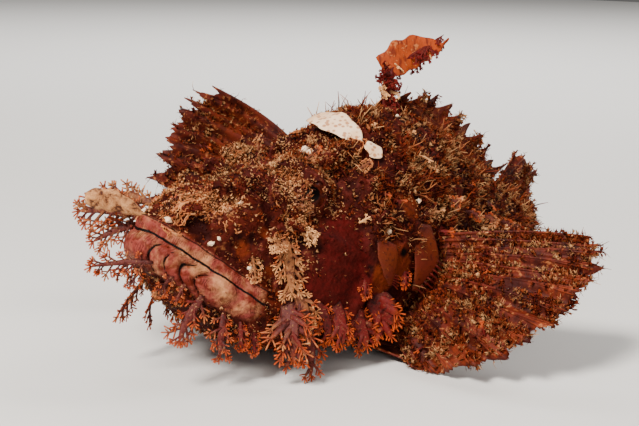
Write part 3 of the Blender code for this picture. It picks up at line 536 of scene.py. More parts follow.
def folded(points):
    """Places with those of the right side laid over the left side."""
    return points * (1, 0, 1) + np.abs(points) * (0, 1, 0)


def zones_of(points):
    """Strength of each zone at places on the straight fish."""
    left = folded(points)
    zones = np.zeros((len(points), len(ZONES)))
    gap, along, front = lip_places(left)
    depth = JAW_DEPTH * np.interp(-points[:, 0], (0.0, 0.03, 0.048), (1.0, 0.8, 0.3))
    band = np.where(gap > 0, (LIP_FOLD + 0.0006 - gap) / 0.0012, (gap + depth) / 0.0055)
    zones[:, 0] = np.clip(band, 0, 1) * front
    # Painted shade: the folds that cross the lower lip go into the dark zone.
    zones[:, 2] = 0.75 * lip_creases(gap, along) * front
    for k, name in enumerate(ZONES[1:], start=1):
        for place, radius, strength in SPOTS[name]:
            gap = np.linalg.norm(left - np.array(at(*place)), axis=1)
            zones[:, k] = np.maximum(zones[:, k], strength * np.exp(-((gap / radius) ** 2)))
    return zones


# Materials.

class Value:
    """An output of a shader tree. Arithmetic on it adds Math nodes."""

    def __init__(self, look, socket):
        self.look = look
        self.socket = socket

    def math(self, operation, first, second=0.0):
        """A Math node on two values."""
        return self.look.node("ShaderNodeMath", {"operation": operation}, {0: first, 1: second})

    def __add__(self, other):
        return self.math("ADD", self, other)

    def __radd__(self, other):
        return self.math("ADD", other, self)

    def __sub__(self, other):
        return self.math("SUBTRACT", self, other)

    def __rsub__(self, other):
        return self.math("SUBTRACT", other, self)

    def __mul__(self, other):
        return self.math("MULTIPLY", self, other)

    def __rmul__(self, other):
        return self.math("MULTIPLY", other, self)

    def __truediv__(self, other):
        return self.math("DIVIDE", self, other)

    def __pow__(self, other):
        return self.math("POWER", self, other)

    def step(self, start, end):
        """0 below start, 1 above end and smooth between."""
        settings = {"interpolation_type": "SMOOTHSTEP"}
        inputs = {"Value": self, "From Min": start, "From Max": end}
        return self.look.node("ShaderNodeMapRange", settings, inputs)


class Look:
    """A material made of nodes, with values written as expressions."""

    def __init__(self, name, gloss=0.16):
        self.material = bpy.data.materials.new(name)
        self.material.use_nodes = True
        self.tree = self.material.node_tree
        self.surface = self.tree.nodes["Principled BSDF"]
        self.surface.inputs["Specular IOR Level"].default_value = gloss
        self.place = self.node("ShaderNodeTexCoord", {}, {}, "Object")
        self.colour = None

    def feed(self, socket, value):
        """Links a value to a socket, or sets it there."""
        if isinstance(value, Value):
            self.tree.links.new(value.socket, socket)
        elif socket.type == "RGBA" and len(value) == 3:
            socket.default_value = (*value, 1.0)
        else:
            socket.default_value = value

    def node(self, kind, settings, inputs, output=0):
        """A node of a kind: its settings first, then its inputs."""
        node = self.tree.nodes.new(kind)
        for key, value in settings.items():
            setattr(node, key, value)
        for key, value in inputs.items():
            self.feed(node.inputs[key], value)
        return Value(self, node.outputs[output])

    def noise(self, size, detail=3.0, roughness=0.55, distortion=0.0, place=None):
        """Cloudy noise from 0 to 1 whose spots are about a size across."""
        inputs = {"Scale": 0.6 / size, "Detail": detail, "Roughness": roughness, "Distortion": distortion}
        inputs["Vector"] = self.place if place is None else place
        return self.node("ShaderNodeTexNoise", {}, inputs)

    def cells(self, size):
        """Distance to the nearest of scattered dots about a size apart."""
        return self.node("ShaderNodeTexVoronoi", {}, {"Scale": 1 / size, "Vector": self.place}, "Distance")

    def mix(self, factor, first, second):
        """From one colour at 0 to another at 1."""
        settings = {"data_type": "RGBA", "clamp_factor": True}
        return self.node("ShaderNodeMix", settings, {0: factor, 6: first, 7: second}, 2)

    def over(self, mask, tone):
        """Lays a tone over the material's colour where a mask is 1."""
        self.colour = self.mix(mask, self.colour, tone)

    def stored(self, name, output="Fac"):
        """What a mesh stores under a name."""
        return self.node("ShaderNodeAttribute", {"attribute_name": name}, {}, output)

    def zones(self):
        """The six stored zones by name."""
        found = {}
        for attribute, names in (("zone_a", ZONES[:3]), ("zone_b", ZONES[3:])):
            vector = self.stored(attribute, "Vector")
            for axis, name in zip("XYZ", names):
                found[name] = self.node("ShaderNodeSeparateXYZ", {}, {0: vector}, axis)
        return found

    def finish(self, roughness, height=None, depth=0.0003, strength=0.6):
        """Feeds the colour, a roughness and a bump to the surface and gives the material back."""
        inputs = self.surface.inputs
        self.feed(inputs["Base Color"], self.colour)
        self.feed(inputs["Roughness"], roughness)
        if height is not None:
            bump = {"Height": height, "Distance": depth, "Strength": strength}
            self.feed(inputs["Normal"], self.node("ShaderNodeBump", {}, bump))
        return self.material


def shaded(colour, share):
    """A colour made darker or brighter."""
    return tuple(share * channel for channel in colour)


def markings(look, colours):
    """Colours a look as the skin, with painted shade in its hollows and lip creases, which the coat does too;
    gives back the zones and the finest noise.
    """
    zone = look.zones()
    wide = look.noise(0.016, 3.0)
    patch = look.noise(0.0055, 4.0, 0.6, 0.3)
    fine = look.noise(0.0013, 3.0, 0.6)
    speck = look.noise(0.0026, 4.0, 0.65, 0.3)
    look.colour = look.mix((patch + 0.5 * wide - 0.25).step(0.38, 0.66), colours.umber, colours.russet)
    look.over((wide - 0.3 * fine).step(0.4, 0.6) * 0.45, colours.orange)
    look.over((speck + 0.25 * patch).step(0.68, 0.8) * 0.7, colours.mauve)
    look.over((fine + 0.3 * speck).step(0.78, 0.92) * 0.8, colours.tan)
    rust = shaded(colours.orange, 0.42)
    for name, hue in (("plum", colours.plum), ("rust", rust), ("mauve", shaded(colours.mauve, 0.6))):
        mask = (zone[name] + 0.7 * (speck - 0.5) + 0.6 * (patch - 0.5)).step(0.26, 0.5)
        under = colours.umber if name == "plum" else colours.russet
        tone = look.mix((fine + patch).step(0.8, 1.2) * 0.6, hue, under)
        look.over(mask, tone)
    lip_tone = look.mix((speck + 0.4 * fine).step(0.5, 0.86), colours.russet, colours.mauve)
    lip_tone = look.mix((patch + 0.3 * speck).step(0.58, 0.9) * 0.5, lip_tone, colours.cream)
    lip_tone = look.mix((fine + 0.4 * speck).step(0.78, 0.98) * 0.6, lip_tone, colours.umber)
    look.over((zone["lip"] + 0.5 * (speck - 0.5)).step(0.2, 0.7), lip_tone)
    crust = (zone["pale"] + 1.4 * (speck - 0.5) + 0.6 * (fine - 0.5)).step(0.45, 0.7) * (1 - zone["lip"])
    look.over(crust * 0.7, colours.umber)
    look.over(crust * fine.step(0.48, 0.66) * 0.8, colours.tan)
    # Painted shade: near-black in the hollows and creases of the dark zone.
    zone["hollow"] = (zone["dark"] + 0.5 * (speck - 0.5)).step(0.3, 0.66)
    look.over(zone["hollow"], colours.hollow_shade)
    return zone, fine


def skin_material(colours):
    """Wet skin: mottled, wrinkled and finely pitted, with painted shade in its low parts, wrinkles and mouth
    line, and painted light on its bumps.
    """
    look = Look("mottled_skin", 0.07)
    zone, fine = markings(look, colours)
    stands = look.stored("height")
    rough_skin = 1 - zone["lip"]
    # Painted shade: near-black in the low parts of the relief.
    look.over((-0.15 - stands).step(0.0, 0.9) * 0.9 * rough_skin, colours.hollow_shade)
    shaggy = rough_skin * (1 - zone["rust"].step(0.1, 0.5)) * (1 - zone["plum"].step(0.1, 0.5))
    look.over(shaggy * 0.55, colours.umber)
    # Painted light: tan on the tops of the relief's bumps.
    lit_peaks = (stands + 0.8 * (fine - 0.5)).step(0.35, 0.75) * 0.3 * shaggy
    look.over(lit_peaks, colours.tan)
    gap = look.stored("gap") + 0.0016 * (look.noise(0.004, 3.0) - 0.5)
    lip = zone["lip"].step(0.3, 0.9)
    turns = (look.stored("along") / LIP_WRINKLE + 4.0 * look.noise(0.0035, 3.0)) * (2 * math.pi)
    wrinkle = (turns.math("SINE", turns) * 0.5 + 0.5) * look.noise(0.004, 2.0).step(0.35, 0.65)
    # Painted shade: umber in the grooves of the lip's wrinkles.
    look.over(wrinkle.step(0.4, 1.0) * lip * 0.55, colours.umber)
    # Painted shade: near-black along the mouth line and in the fold of the upper lip.
    for centre, half, deep in ((0.0, 0.00042, 1.0), (LIP_FOLD - 0.0008, 0.0003, 0.8)):
        away = (gap - centre).math("ABSOLUTE", gap - centre)
        line = (half - away).step(-0.5 * half, 0.3 * half) * zone["lip"].step(0.02, 0.1) * deep
        look.over(line, colours.hollow_shade)
    height = fine + 0.6 * look.noise(0.0006, 2.0) + 0.8 * (1 - look.cells(0.0016).step(0.0, 0.7))
    height = height - 0.8 * wrinkle * lip
    rough = 0.62 - 0.18 * zone["lip"] + 0.22 * fine
    return look.finish(rough, height, 0.0003, 0.8)


def coat_material(colours):
    """Threads and flaps of skin: dark at the root, tan, orange, mauve or cream at the tip."""
    look = Look("coat_of_flaps", 0.1)
    _, fine = markings(look, colours)
    shade = look.stored("shade")
    tip = look.stored("tip")
    light = look.mix(shade.step(0.45, 0.8), shaded(colours.orange, 1.3), colours.tan)
    light = look.mix(shade.step(0.8, 1.0), light, colours.cream)
    light = look.mix((0.22 - shade).step(0.0, 0.16), light, colours.red)
    look.over(tip ** 1.1 * (0.35 + 0.65 * shade), light)
    look.over((1 - tip) ** 1.8 * 0.8, colours.umber)
    rough = 0.6 + 0.2 * fine
    return look.finish(rough)


def crust_material(colours):
    """Pale crust grains and ridges, dark at the foot."""
    look = Look("pale_crust")
    shade = look.stored("shade")
    tip = look.stored("tip")
    cloud = look.noise(0.002, 3.0)
    look.colour = look.mix((cloud + 0.5 * shade).step(0.98, 1.4), colours.cream, colours.chalk)
    look.over((1 - shade).step(0.15, 0.55) * 0.9, colours.tan)
    look.over((cloud + 0.3 * tip).step(0.62, 0.8) * 0.5, colours.orange)
    look.over((0.75 - tip).step(0.0, 0.65) * 0.9, colours.russet)
    rough = 0.55 + 0.2 * look.noise(0.001)
    return look.finish(rough, look.noise(0.0005), 0.0002, 0.6)


def chip_material(colours):
    """Near-white chips."""
    look = Look("white_chips")
    cloud = look.noise(0.0015, 3.0)
    look.colour = look.mix(cloud.step(0.35, 0.7) * 0.6, colours.chalk, colours.cream)
    rough = 0.5 + 0.2 * cloud
    return look.finish(rough, look.noise(0.0006), 0.0002, 0.6)


def tassel_material(colours):
    """Fleshy tassels from red (shade 0) through mauve and tan to cream (shade 1), with orange tips."""
    look = Look("fleshy_tassels")
    tip = look.stored("tip")
    shade = look.stored("shade")
    patch = look.noise(0.0022, 4.0, 0.6, 0.4)
    fine = look.noise(0.0007, 2.0)
    depth = shade + 0.5 * (patch - 0.5)
    deep_red, violet = shaded(colours.red, 0.55), shaded(colours.mauve, 0.4)
    flesh = shaded(colours.tan, 0.44)
    look.colour = look.mix(depth.step(0.1, 0.45), deep_red, violet)
    look.over(depth.step(0.45, 0.75), flesh)
    look.over(depth.step(0.8, 1.1), colours.cream)
    look.over((0.64 - patch - 0.3 * fine).step(0.0, 0.14) * 0.85, colours.umber)
    bright = shaded(colours.orange, 1.7)
    end = look.mix((patch + 0.6 * shade).step(0.7, 1.0), bright, colours.tan)
    end = look.mix((fine + 0.6 * shade).step(0.8, 1.05) * 0.8, end, colours.cream)
    look.over(tip.step(0.55, 0.95) * 0.9, end)
    look.over((0.35 - tip).step(0.0, 0.35) * 0.7 * (1 - shade), colours.umber)
    crumbs = look.noise(0.0005, 3.0).step(0.56, 0.66) * patch.step(0.4, 0.6)
    look.over(crumbs * (0.1 + 0.6 * shade), colours.cream)
    rough = 0.48 + 0.25 * fine
    height = fine + patch + 0.8 * crumbs
    return look.finish(rough, height, 0.0003, 0.8)


def fin_material(colours):
    """Fin membrane: dark russet with orange and umber blotches and pale specks."""
    look = Look("fin_membrane")
    tip = look.stored("tip")
    shade = look.stored("shade")
    wide = look.noise(0.012, 3.0)
    patch = look.noise(0.0045, 4.0, 0.6, 0.4)
    fine = look.noise(0.0012, 3.0)
    look.colour = look.mix((patch + 0.4 * wide).step(0.5, 0.8), colours.umber, colours.russet)
    look.over((wide + 0.2 * fine).step(0.54, 0.78) * 0.35, colours.orange)
    look.over((fine + 0.3 * patch).step(0.72, 0.86) * 0.6, colours.tan)
    look.over(shade.step(0.6, 0.9) * 0.2 * patch.step(0.4, 0.7), colours.mauve)
    look.over((0.55 - patch).step(0.0, 0.15) * 0.6, colours.umber)
    look.over(tip.step(0.82, 1.0) * 0.5, colours.orange)
    rough = 0.5 + 0.25 * fine
    return look.finish(rough, fine + patch, 0.0003, 0.6)


def blade_material(colours):
    """The smooth orange-brown blades of the gill covers."""
    look = Look("smooth_blade")
    tip = look.stored("tip")
    cloud = look.noise(0.005, 4.0)
    fine = look.noise(0.001, 2.0)
    look.colour = look.mix((cloud + 0.2 * fine).step(0.45, 0.8), colours.russet, shaded(colours.orange, 0.4))
    look.over((fine + 0.2 * cloud).step(0.66, 0.82) * 0.7, colours.umber)
    look.over((0.25 - tip).step(0.0, 0.25) * 0.5, colours.umber)
    rough = 0.46 + 0.2 * fine
    return look.finish(rough, fine + cloud, 0.0003, 0.7)


def stalk_material(colours):
    """The flag's stalk: dark purple-red tufts with a few cream tips."""
    look = Look("flag_stalk")
    tip = look.stored("tip")
    shade = look.stored("shade")
    patch = look.noise(0.002, 3.0)
    look.colour = look.mix(patch.step(0.4, 0.7), colours.plum, colours.russet)
    look.over(tip.step(0.4, 0.9) * 0.6, colours.red)
    look.over(shade.step(0.4, 0.7) * tip.step(0.1, 0.6), colours.cream)
    rough = 0.5 + 0.2 * patch
    return look.finish(rough, patch, 0.0003, 0.6)


def flag_material(colours):
    """The bright fan at the top of the raised spine, with russet streaks and tan specks."""
    look = Look("flag_fan")
    shade = look.stored("shade")
    cloud = look.noise(0.004, 4.0)
    fine = look.noise(0.001, 2.0)
    bright = shaded(colours.orange, 1.4)
    look.colour = look.mix((cloud + 0.3 * fine).step(0.45, 0.8), bright, colours.orange)
    streaks = look.noise(0.0009, 2.0, place=look.node("ShaderNodeVectorMath", {"operation": "MULTIPLY"}, {
        0: look.place, 1: (1.0, 1.0, 0.2)}))
    look.over(streaks.step(0.5, 0.68) * 0.8, colours.russet)
    look.over((fine + 0.3 * cloud).step(0.74, 0.86) * 0.6, colours.tan)
    rough = 0.46 + 0.2 * fine
    return look.finish(rough, fine + cloud, 0.0003, 0.7)


def leaf_material(colours):
    """The pale leaf over the nape, with tan dots."""
    look = Look("pale_leaf")
    dots = (1 - look.cells(0.0021)).step(0.52, 0.72)
    cloud = look.noise(0.004, 3.0)
    look.colour = look.mix(0.2 + cloud.step(0.4, 0.7) * 0.45, colours.chalk, colours.cream)
    look.over(dots * 0.8, shaded(colours.tan, 0.8))
    rough = 0.5 + 0.1 * cloud
    return look.finish(rough, cloud, 0.0003, 0.5)


# Colours that only the eye and the floor have.
IRIS_DARK = (0.026, 0.0035, 0.0015)
IRIS_VEIN = (0.1, 0.015, 0.006)
IRIS_RIM = (0.11, 0.03, 0.01)
PUPIL = (0.002, 0.001, 0.001)
FLOOR_SHADE = (0.6, 0.59, 0.57)


def eye_material(colours):
    """A dark brown iris with faint red veins round a black pupil."""
    look = Look("eye_ball", 0.04)
    gaze = look.stored("tip")
    veins = look.noise(0.0008, 4.0, 0.7, 1.0)
    look.colour = look.mix(veins.step(0.45, 0.7), IRIS_DARK, IRIS_VEIN)
    look.over(gaze.step(0.62, 0.7) * 0.6, IRIS_RIM)
    look.over(1 - gaze.step(0.2, 0.26), PUPIL)
    look.surface.inputs["Coat Weight"].default_value = 0.03
    look.surface.inputs["Coat Roughness"].default_value = 0.08
    rough = 0.24 + 0.1 * veins
    return look.finish(rough)


def floor_material(colours):
    """Plain pale floor."""
    look = Look("pale_floor")
    cloud = look.noise(0.15, 2.0)
    look.colour = look.mix(cloud * 0.12, colours.floor, FLOOR_SHADE)
    return look.finish(0.8)


MAKERS = {
    "skin": skin_material, "coat": coat_material, "crust": crust_material, "tassel": tassel_material,
    "fin": fin_material, "blade": blade_material, "flag": flag_material, "stalk": stalk_material,
    "leaf": leaf_material, "chip": chip_material, "eye": eye_material, "floor": floor_material,
}
MADE = {}


def material(name):
    """A material by its short name, made when it is first asked for."""
    if name not in MADE:
        MADE[name] = MAKERS[name](bpy.context.scene.fish_colours)
    return MADE[name]


# The flesh.

def smooth(table, column, s):
    """A column of a station table at s, on a curve without overshoot through its stations."""
    xs = np.array([row[0] for row in table])
    ys = np.array([row[column] for row in table])
    steps = np.diff(ys) / np.diff(xs)
    slopes = np.zeros(len(xs))
    slopes[0], slopes[-1] = steps[0], steps[-1]
    for i in range(1, len(xs) - 1):
        if steps[i - 1] * steps[i] > 0:
            slopes[i] = 2 * steps[i - 1] * steps[i] / (steps[i - 1] + steps[i])
    s = min(max(s, xs[0]), xs[-1])
    i = min(int(np.searchsorted(xs, s, side="right")) - 1, len(xs) - 2)
    h = xs[i + 1] - xs[i]
    t = (s - xs[i]) / h
    return float(
        ys[i] * (2 * t**3 - 3 * t**2 + 1)
        + slopes[i] * h * (t**3 - 2 * t**2 + t)
        + ys[i + 1] * (3 * t**2 - 2 * t**3)
        + slopes[i + 1] * h * (t**3 - t**2)
    )


def power(value, exponent):
    """A signed power, for rounded-square sections."""
    return math.copysign(abs(value) ** exponent, value)


def trunk_ring(s):
    """The closed section of the trunk at s, from the left side over the back."""
    half, top, bottom, widest = (smooth(TRUNK, column, s) for column in range(1, 5))
    ring = []
    for k in range(SECTION_POINTS):
        angle = 2 * math.pi * k / SECTION_POINTS
        c, n = math.cos(angle), math.sin(angle)
        reach = top - widest if n > 0 else widest - bottom
        sharp = 1.12 if n > 0 else 0.86
        ring.append(at(s, half * power(c, 0.92), widest + reach * power(n, sharp)))
    return ring


def trunk_side(s, z):
    """Half width of the trunk at s and height z."""
    half, top, bottom, widest = (smooth(TRUNK, column, s) for column in range(1, 5))
    reach = top - widest if z > widest else widest - bottom
    share = min(abs(z - widest) / reach, 0.98)
    return half * math.sqrt(1 - share**2)


def loose(name, form):
    """A helper object from a bmesh, which is freed."""
    mesh = bpy.data.meshes.new(name)
    form.to_mesh(mesh)
    form.free()
    obj = bpy.data.objects.new(name, mesh)
    bpy.context.scene.collection.objects.link(obj)
    return obj


def ball(name, centre, radii, turn=(0, 0, 0)):
    """A helper ball scaled to its radii and turned about X, Y and Z in degrees."""
    rotation = Matrix.Identity(4)
    for angle, axis in zip(turn, "XYZ"):
        rotation = Matrix.Rotation(math.radians(angle), 4, axis) @ rotation
    form = bmesh.new()
    place = Matrix.Translation(centre) @ rotation @ Matrix.Diagonal((*radii, 1.0))
    bmesh.ops.create_icosphere(form, subdivisions=4, radius=1.0, matrix=place)
    return loose(name, form)


def tube(name, path, radii):
    """A helper tube along a path. Each radius is one number, or a pair of half width and half height."""
    rings = []
    for i, p in enumerate(path):
        ahead = (path[min(i + 1, len(path) - 1)] - path[max(i - 1, 0)]).normalized()
        across = Vector((0, 0, 1)).cross(ahead)
        across = across.normalized() if across.length > 1e-6 else Vector((0, 1, 0))
        up = ahead.cross(across)
        wide, tall = radii[i] if isinstance(radii[i], tuple) else (radii[i], radii[i])
        turns = [2 * math.pi * k / TUBE_SIDES for k in range(TUBE_SIDES)]
        rings.append([p + across * wide * math.cos(a) + up * tall * math.sin(a) for a in turns])
    return loose(name, rolled(rings))


# Balls of flesh on each side: name, centre, radii and turns.
PAIRED_FLESH = (
    ("turret", (0.0568, 0.0184, 0.0182), (0.0138, 0.0112, 0.0124), (0, 0, 0)),
    ("brow", (0.0545, 0.0172, 0.028), (0.0122, 0.0056, 0.0042), (0, -6, 6)),
    ("brow_front", (0.04, 0.013, 0.0215), (0.01, 0.0046, 0.0046), (0, -20, -8)),
    ("nostril_mound", (0.025, 0.011, 0.0165), (0.0062, 0.0046, 0.0044), (0, 20, 0)),
    ("snout_side", (0.027, 0.0165, 0.004), (0.015, 0.006, 0.0075), (0, 25, -22)),
    ("snout_arch", (0.015, 0.01, 0.0095), (0.01, 0.0034, 0.0026), (0, 20, -30)),
    ("jaw_plate", (0.039, 0.0255, -0.02), (0.0115, 0.0034, 0.0062), (0, -34, -20)),
    ("cheek", (0.064, 0.0275, -0.012), (0.021, 0.0095, 0.018), (0, 0, -8)),
    ("cheek_stay", (0.062, 0.032, 0.003), (0.02, 0.0034, 0.0034), (0, -17, -14)),
    ("cheek_fold", (0.066, 0.035, -0.006), (0.014, 0.0026, 0.0016), (0, -12, -4)),
    ("cheek_edge", (0.0815, 0.0355, -0.012), (0.0036, 0.0034, 0.02), (0, -20, 0)),
    ("gill_cover", (0.096, 0.0335, -0.001), (0.019, 0.0062, 0.021), (0, -8, 5)),
    ("gill_rib", (0.1, 0.0385, 0.006), (0.013, 0.0022, 0.002), (0, -8, 4)),
    ("neck_ridge", (0.077, 0.0165, 0.036), (0.013, 0.0045, 0.0045), (0, 26, 0)),
    ("shoulder", (0.112, 0.027, 0.015), (0.018, 0.006, 0.011), (0, 0, 8)),
    ("neck_knob", (0.094, 0.019, 0.044), (0.006, 0.0045, 0.004), (0, 0, 0)),
    ("jaw_lump", (0.024, 0.0225, -0.018), (0.006, 0.003, 0.0036), (0, -30, -30)),
    ("jaw_lump_rear", (0.033, 0.0245, -0.023), (0.005, 0.003, 0.0032), (0, -30, -25)),
    ("jaw_lump_front", (0.007, 0.013, -0.0085), (0.005, 0.003, 0.0036), (0, -20, -45)),
    ("between_eyes", (0.062, 0.008, 0.0255), (0.006, 0.0036, 0.003), (0, 0, 0)),
    ("before_eyes", (0.047, 0.006, 0.0235), (0.005, 0.0034, 0.0028), (0, -15, 0)),
)
# Hollows on each side.
PAIRED_HOLLOWS = (
    ("cheek_pit", (0.0405, 0.0265, 0.0125), (0.0058, 0.0056, 0.0046)),
    ("nostril", (0.0215, 0.015, 0.016), (0.003, 0.003, 0.0022)),
    ("snout_pit", (0.0135, 0.015, 0.0042), (0.005, 0.0042, 0.0035)),
    ("eye_hollow", (0.0505, 0.032, 0.002), (0.004, 0.0036, 0.003)),
    ("flap_pit", (0.0895, 0.0395, 0.0075), (0.006, 0.0032, 0.006)),
)


def flesh_forms():
    """The forms that blend into the body."""
    solids = [loose("trunk", rolled([trunk_ring(s) for s in np.linspace(0.004, 0.254, 90)]))]
    ends = [abs(1 - 2 * k / (LIP_STEPS - 1)) for k in range(LIP_STEPS)]
    upper = [0.003 + 0.0006 * e for e in ends]
    lower = [(0.0046 - 0.0016 * e**4, 0.0062 - 0.0026 * e**4) for e in ends]
    rim = [(0.0052 - 0.0016 * e**3, 0.0052 - 0.0022 * e**3) for e in ends]
    solids.append(tube("upper_lip", mouth_path(0.0015, 0.003), [(r, r * 0.95) for r in upper]))
    solids.append(tube("lower_lip", mouth_path(-0.0005, -0.006), lower))
    solids.append(tube("chin_rim", mouth_path(0.004, -0.0115, reach=0.98), rim))
    solids.append(ball("chin", at(0.029, 0, -0.027), (0.03, 0.0185, 0.01), (0, -30, 0)))
    solids.append(ball("throat", at(0.06, 0, -0.037), (0.026, 0.025, 0.008), (0, -8, 0)))
    solids.append(ball("nose_ridge", at(0.017, 0, 0.01), (0.015, 0.007, 0.0062), (0, 22, 0)))
    solids.append(ball("nape", at(0.1, 0, 0.044), (0.022, 0.02, 0.0105), (0, 12, 0)))
    for sign in (1, -1):
        for name, place, radii, turn in PAIRED_FLESH:
            angles = (sign * turn[0], turn[1], sign * turn[2])
            solids.append(ball(name, beside(place, sign), radii, angles))
        arc = [at(s, sign * 0.0375, z) for s, z in FLAP_ARC]
        solids.append(tube("flap_rim", arc, [(0.0018, 0.0026)] * len(arc)))
    return solids


def hollow_forms(eye_radius):
    """The forms that are cut out of the body."""
    cuts = [ball("neck_pit", at(0.068, 0, 0.0395), (0.008, 0.0105, 0.008))]
    socket = eye_radius + 0.0002
    for sign in (1, -1):
        for name, place, radii in PAIRED_HOLLOWS:
            cuts.append(ball(name, beside(place, sign), radii))
        cuts.append(ball("socket", beside(EYE_CENTRE, sign), (socket,) * 3))
        line = [at(s, sign * (trunk_side(s, z) + 0.0022), z) for s, z in GILL_LINE[1:]]
        cuts.append(tube("gill_groove", line, [0.002] * len(line)))
    slot = [(0.0064, 0.0006)] * LIP_STEPS
    cuts.append(tube("mouth_groove", mouth_path(-0.0005, 0.0, reach=0.86), slot))
    crease = [(0.0034, 0.0008)] * LIP_STEPS
    cuts.append(tube("lip_fold", mouth_path(-0.0006, LIP_FOLD, reach=0.84), crease))
    return cuts


def applied(obj):
    """Applies an object's modifiers."""
    graph = bpy.context.evaluated_depsgraph_get()
    mesh = bpy.data.meshes.new_from_object(obj.evaluated_get(graph))
    obj.modifiers.clear()
    obj.data = mesh
    return obj


def blended(obj, voxel, rounds):
    """Melts an object's overlapping forms into one skin."""
    melt = obj.modifiers.new("melt", "REMESH")
    melt.mode = "VOXEL"
    melt.voxel_size = voxel
    ease = obj.modifiers.new("ease", "SMOOTH")
    ease.factor = 0.5
    ease.iterations = rounds
    return applied(obj)


def flesh(sizes):
    """The straight body as one fine skin."""
    form = bmesh.new()
    solids = flesh_forms()
    for part in solids:
        form.from_mesh(part.data)
        bpy.data.objects.remove(part)
    body = loose("flesh", form)
    blended(body, sizes.skin_grain * 1.3, 4)
    group = bpy.data.collections.new("hollows")
    bpy.context.scene.collection.children.link(group)
    cuts = hollow_forms(sizes.eye_radius)
    for cut in cuts:
        group.objects.link(cut)
    carve = body.modifiers.new("carve", "BOOLEAN")
    carve.operation = "DIFFERENCE"
    carve.solver = "MANIFOLD"
    carve.operand_type = "COLLECTION"
    carve.collection = group
    applied(body)
    for cut in cuts:
        bpy.data.objects.remove(cut)
    bpy.data.collections.remove(group)
    return blended(body, sizes.skin_grain, 2)


def vertex_array(mesh, attribute="co"):
    """Places or normals of a mesh's vertices."""
    values = np.empty(len(mesh.vertices) * 3)
    if attribute == "co":
        mesh.vertices.foreach_get("co", values)
    else:
        mesh.vertex_normals.foreach_get("vector", values)
    return values.reshape(-1, 3)


def relief(points, zones):
    """Height of the skin's lumps, wrinkles and pits, from about -2 to 1."""
    calm = 1 - 0.85 * np.clip(np.maximum.reduce((zones[:, 0], zones[:, 3], zones[:, 4])), 0, 1)
    height = np.empty(len(points))
    for k, place in enumerate(points):
        spot = Vector(place)
        lumps = noise.fractal(spot * 150, 0.9, 2.1, 4)
        creases = 1 - 3 * abs(noise.noise(spot * 260))
        grains = noise.fractal(spot * 620, 0.9, 2.1, 2)
        height[k] = calm[k] * (0.9 * lumps + 0.35 * creases - 0.5) + 0.3 * grains
    gap, along, front = lip_places(points)
    return np.clip(height - 1.5 * lip_creases(gap, along) * front, -2.2, 1.2)


class OBJECT_OT_fish_skin(bpy.types.Operator):
    """One skin over head, jaw, body and tail stem"""

    bl_idname = "object.fish_skin"
    bl_label = "Skin"

    def execute(self, context):
        sizes = context.scene.fish_sizes
        body = flesh(sizes)
        mesh = body.data
        straight = vertex_array(mesh)
        normals = vertex_array(mesh, "normal")
        zones = zones_of(straight)
        height = relief(straight, zones)
        straight = straight + normals * (height * sizes.relief - 0.0003)[:, None]
        places = posed(straight)
        places[:, 2] = np.maximum(places[:, 2], FLOOR_CLEARANCE)
        mesh.vertices.foreach_set("co", places.ravel())
        mesh.update()
        mesh.shade_smooth()
        store_places(mesh, straight)
        store_zones(mesh, zones)
        store(mesh, "height", height)
        gap, along, _ = lip_places(straight)
        store(mesh, "gap", gap)
        store(mesh, "along", along)
        bpy.data.objects.remove(body)
        skin = piece("skin", mesh, material("skin"))
        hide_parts("head", "lower_jaw", "torso", "tail_stem")
        return {"FINISHED"}


class Host:
    """A surface that small forms grow on: its places, normals, straight places, zones and triangles."""

    def __init__(self, obj):
        mesh = obj.data
        mesh.calc_loop_triangles()
        self.places = vertex_array(mesh)
        self.normals = vertex_array(mesh, "normal")
        triangles = np.empty(len(mesh.loop_triangles) * 3, dtype=np.int32)
        mesh.loop_triangles.foreach_get("vertices", triangles)
        self.triangles = triangles.reshape(-1, 3)
        straight = np.empty(len(mesh.vertices) * 3)
        mesh.attributes["straight"].data.foreach_get("vector", straight)
        self.straight = straight.reshape(-1, 3)
        columns = []
        for name in ("zone_a", "zone_b"):
            colours = np.empty(len(mesh.vertices) * 4)
            mesh.attributes[name].data.foreach_get("color", colours)
            columns.append(colours.reshape(-1, 4)[:, :3])
        self.zones = np.concatenate(columns, 1)
        self.tree = None

    def nearest(self, place, depth=0.0):
        """The spot on the straight surface nearest to a place, sunk in by a depth, and its normal."""
        if self.tree is None:
            self.tree = BVHTree.FromPolygons(self.straight.tolist(), self.triangles.tolist())
        spot, normal, _, _ = self.tree.find_nearest(place)
        return spot - normal * depth, normal

    def spots(self, count, weight, size, dice):
        """Random spots: places, normals, straight places, zones and sizes. Weight is wanted density."""
        a, b, c = (self.places[self.triangles[:, k]] for k in range(3))
        area = np.linalg.norm(np.cross(b - a, c - a), axis=1)
        wanted = area * weight[self.triangles].mean(axis=1)
        pick = dice.choice(len(area), size=count, p=wanted / wanted.sum())
        r, s = np.sqrt(dice.random(count)), dice.random(count)
        shares = np.stack((1 - r, r * (1 - s), r * s), 1)[:, :, None]
        corners = self.triangles[pick]
        rows = (self.places, self.normals, self.straight)
        found = [np.sum(values[corners] * shares, axis=1) for values in rows]
        return found[0], unit(found[1]), found[2], self.zones[corners[:, 0]], size[corners[:, 0]]


def patch_of(straight):
    """Place of roots on the straight fish's skin, unrolled about its middle line."""
    along = -straight[:, 0] / (BODY_LENGTH + 0.04) + 0.06
    around = np.arctan2(straight[:, 1], straight[:, 2]) / (2 * math.pi) + 0.5
    return np.stack((along, around), 1) * (1 - PATCH)


def tailward(straight):
    """The way towards the tail at places of the straight fish, in the pose."""
    return unit(posed(straight - np.array((0.001, 0, 0))) - posed(straight))


# Tassels.

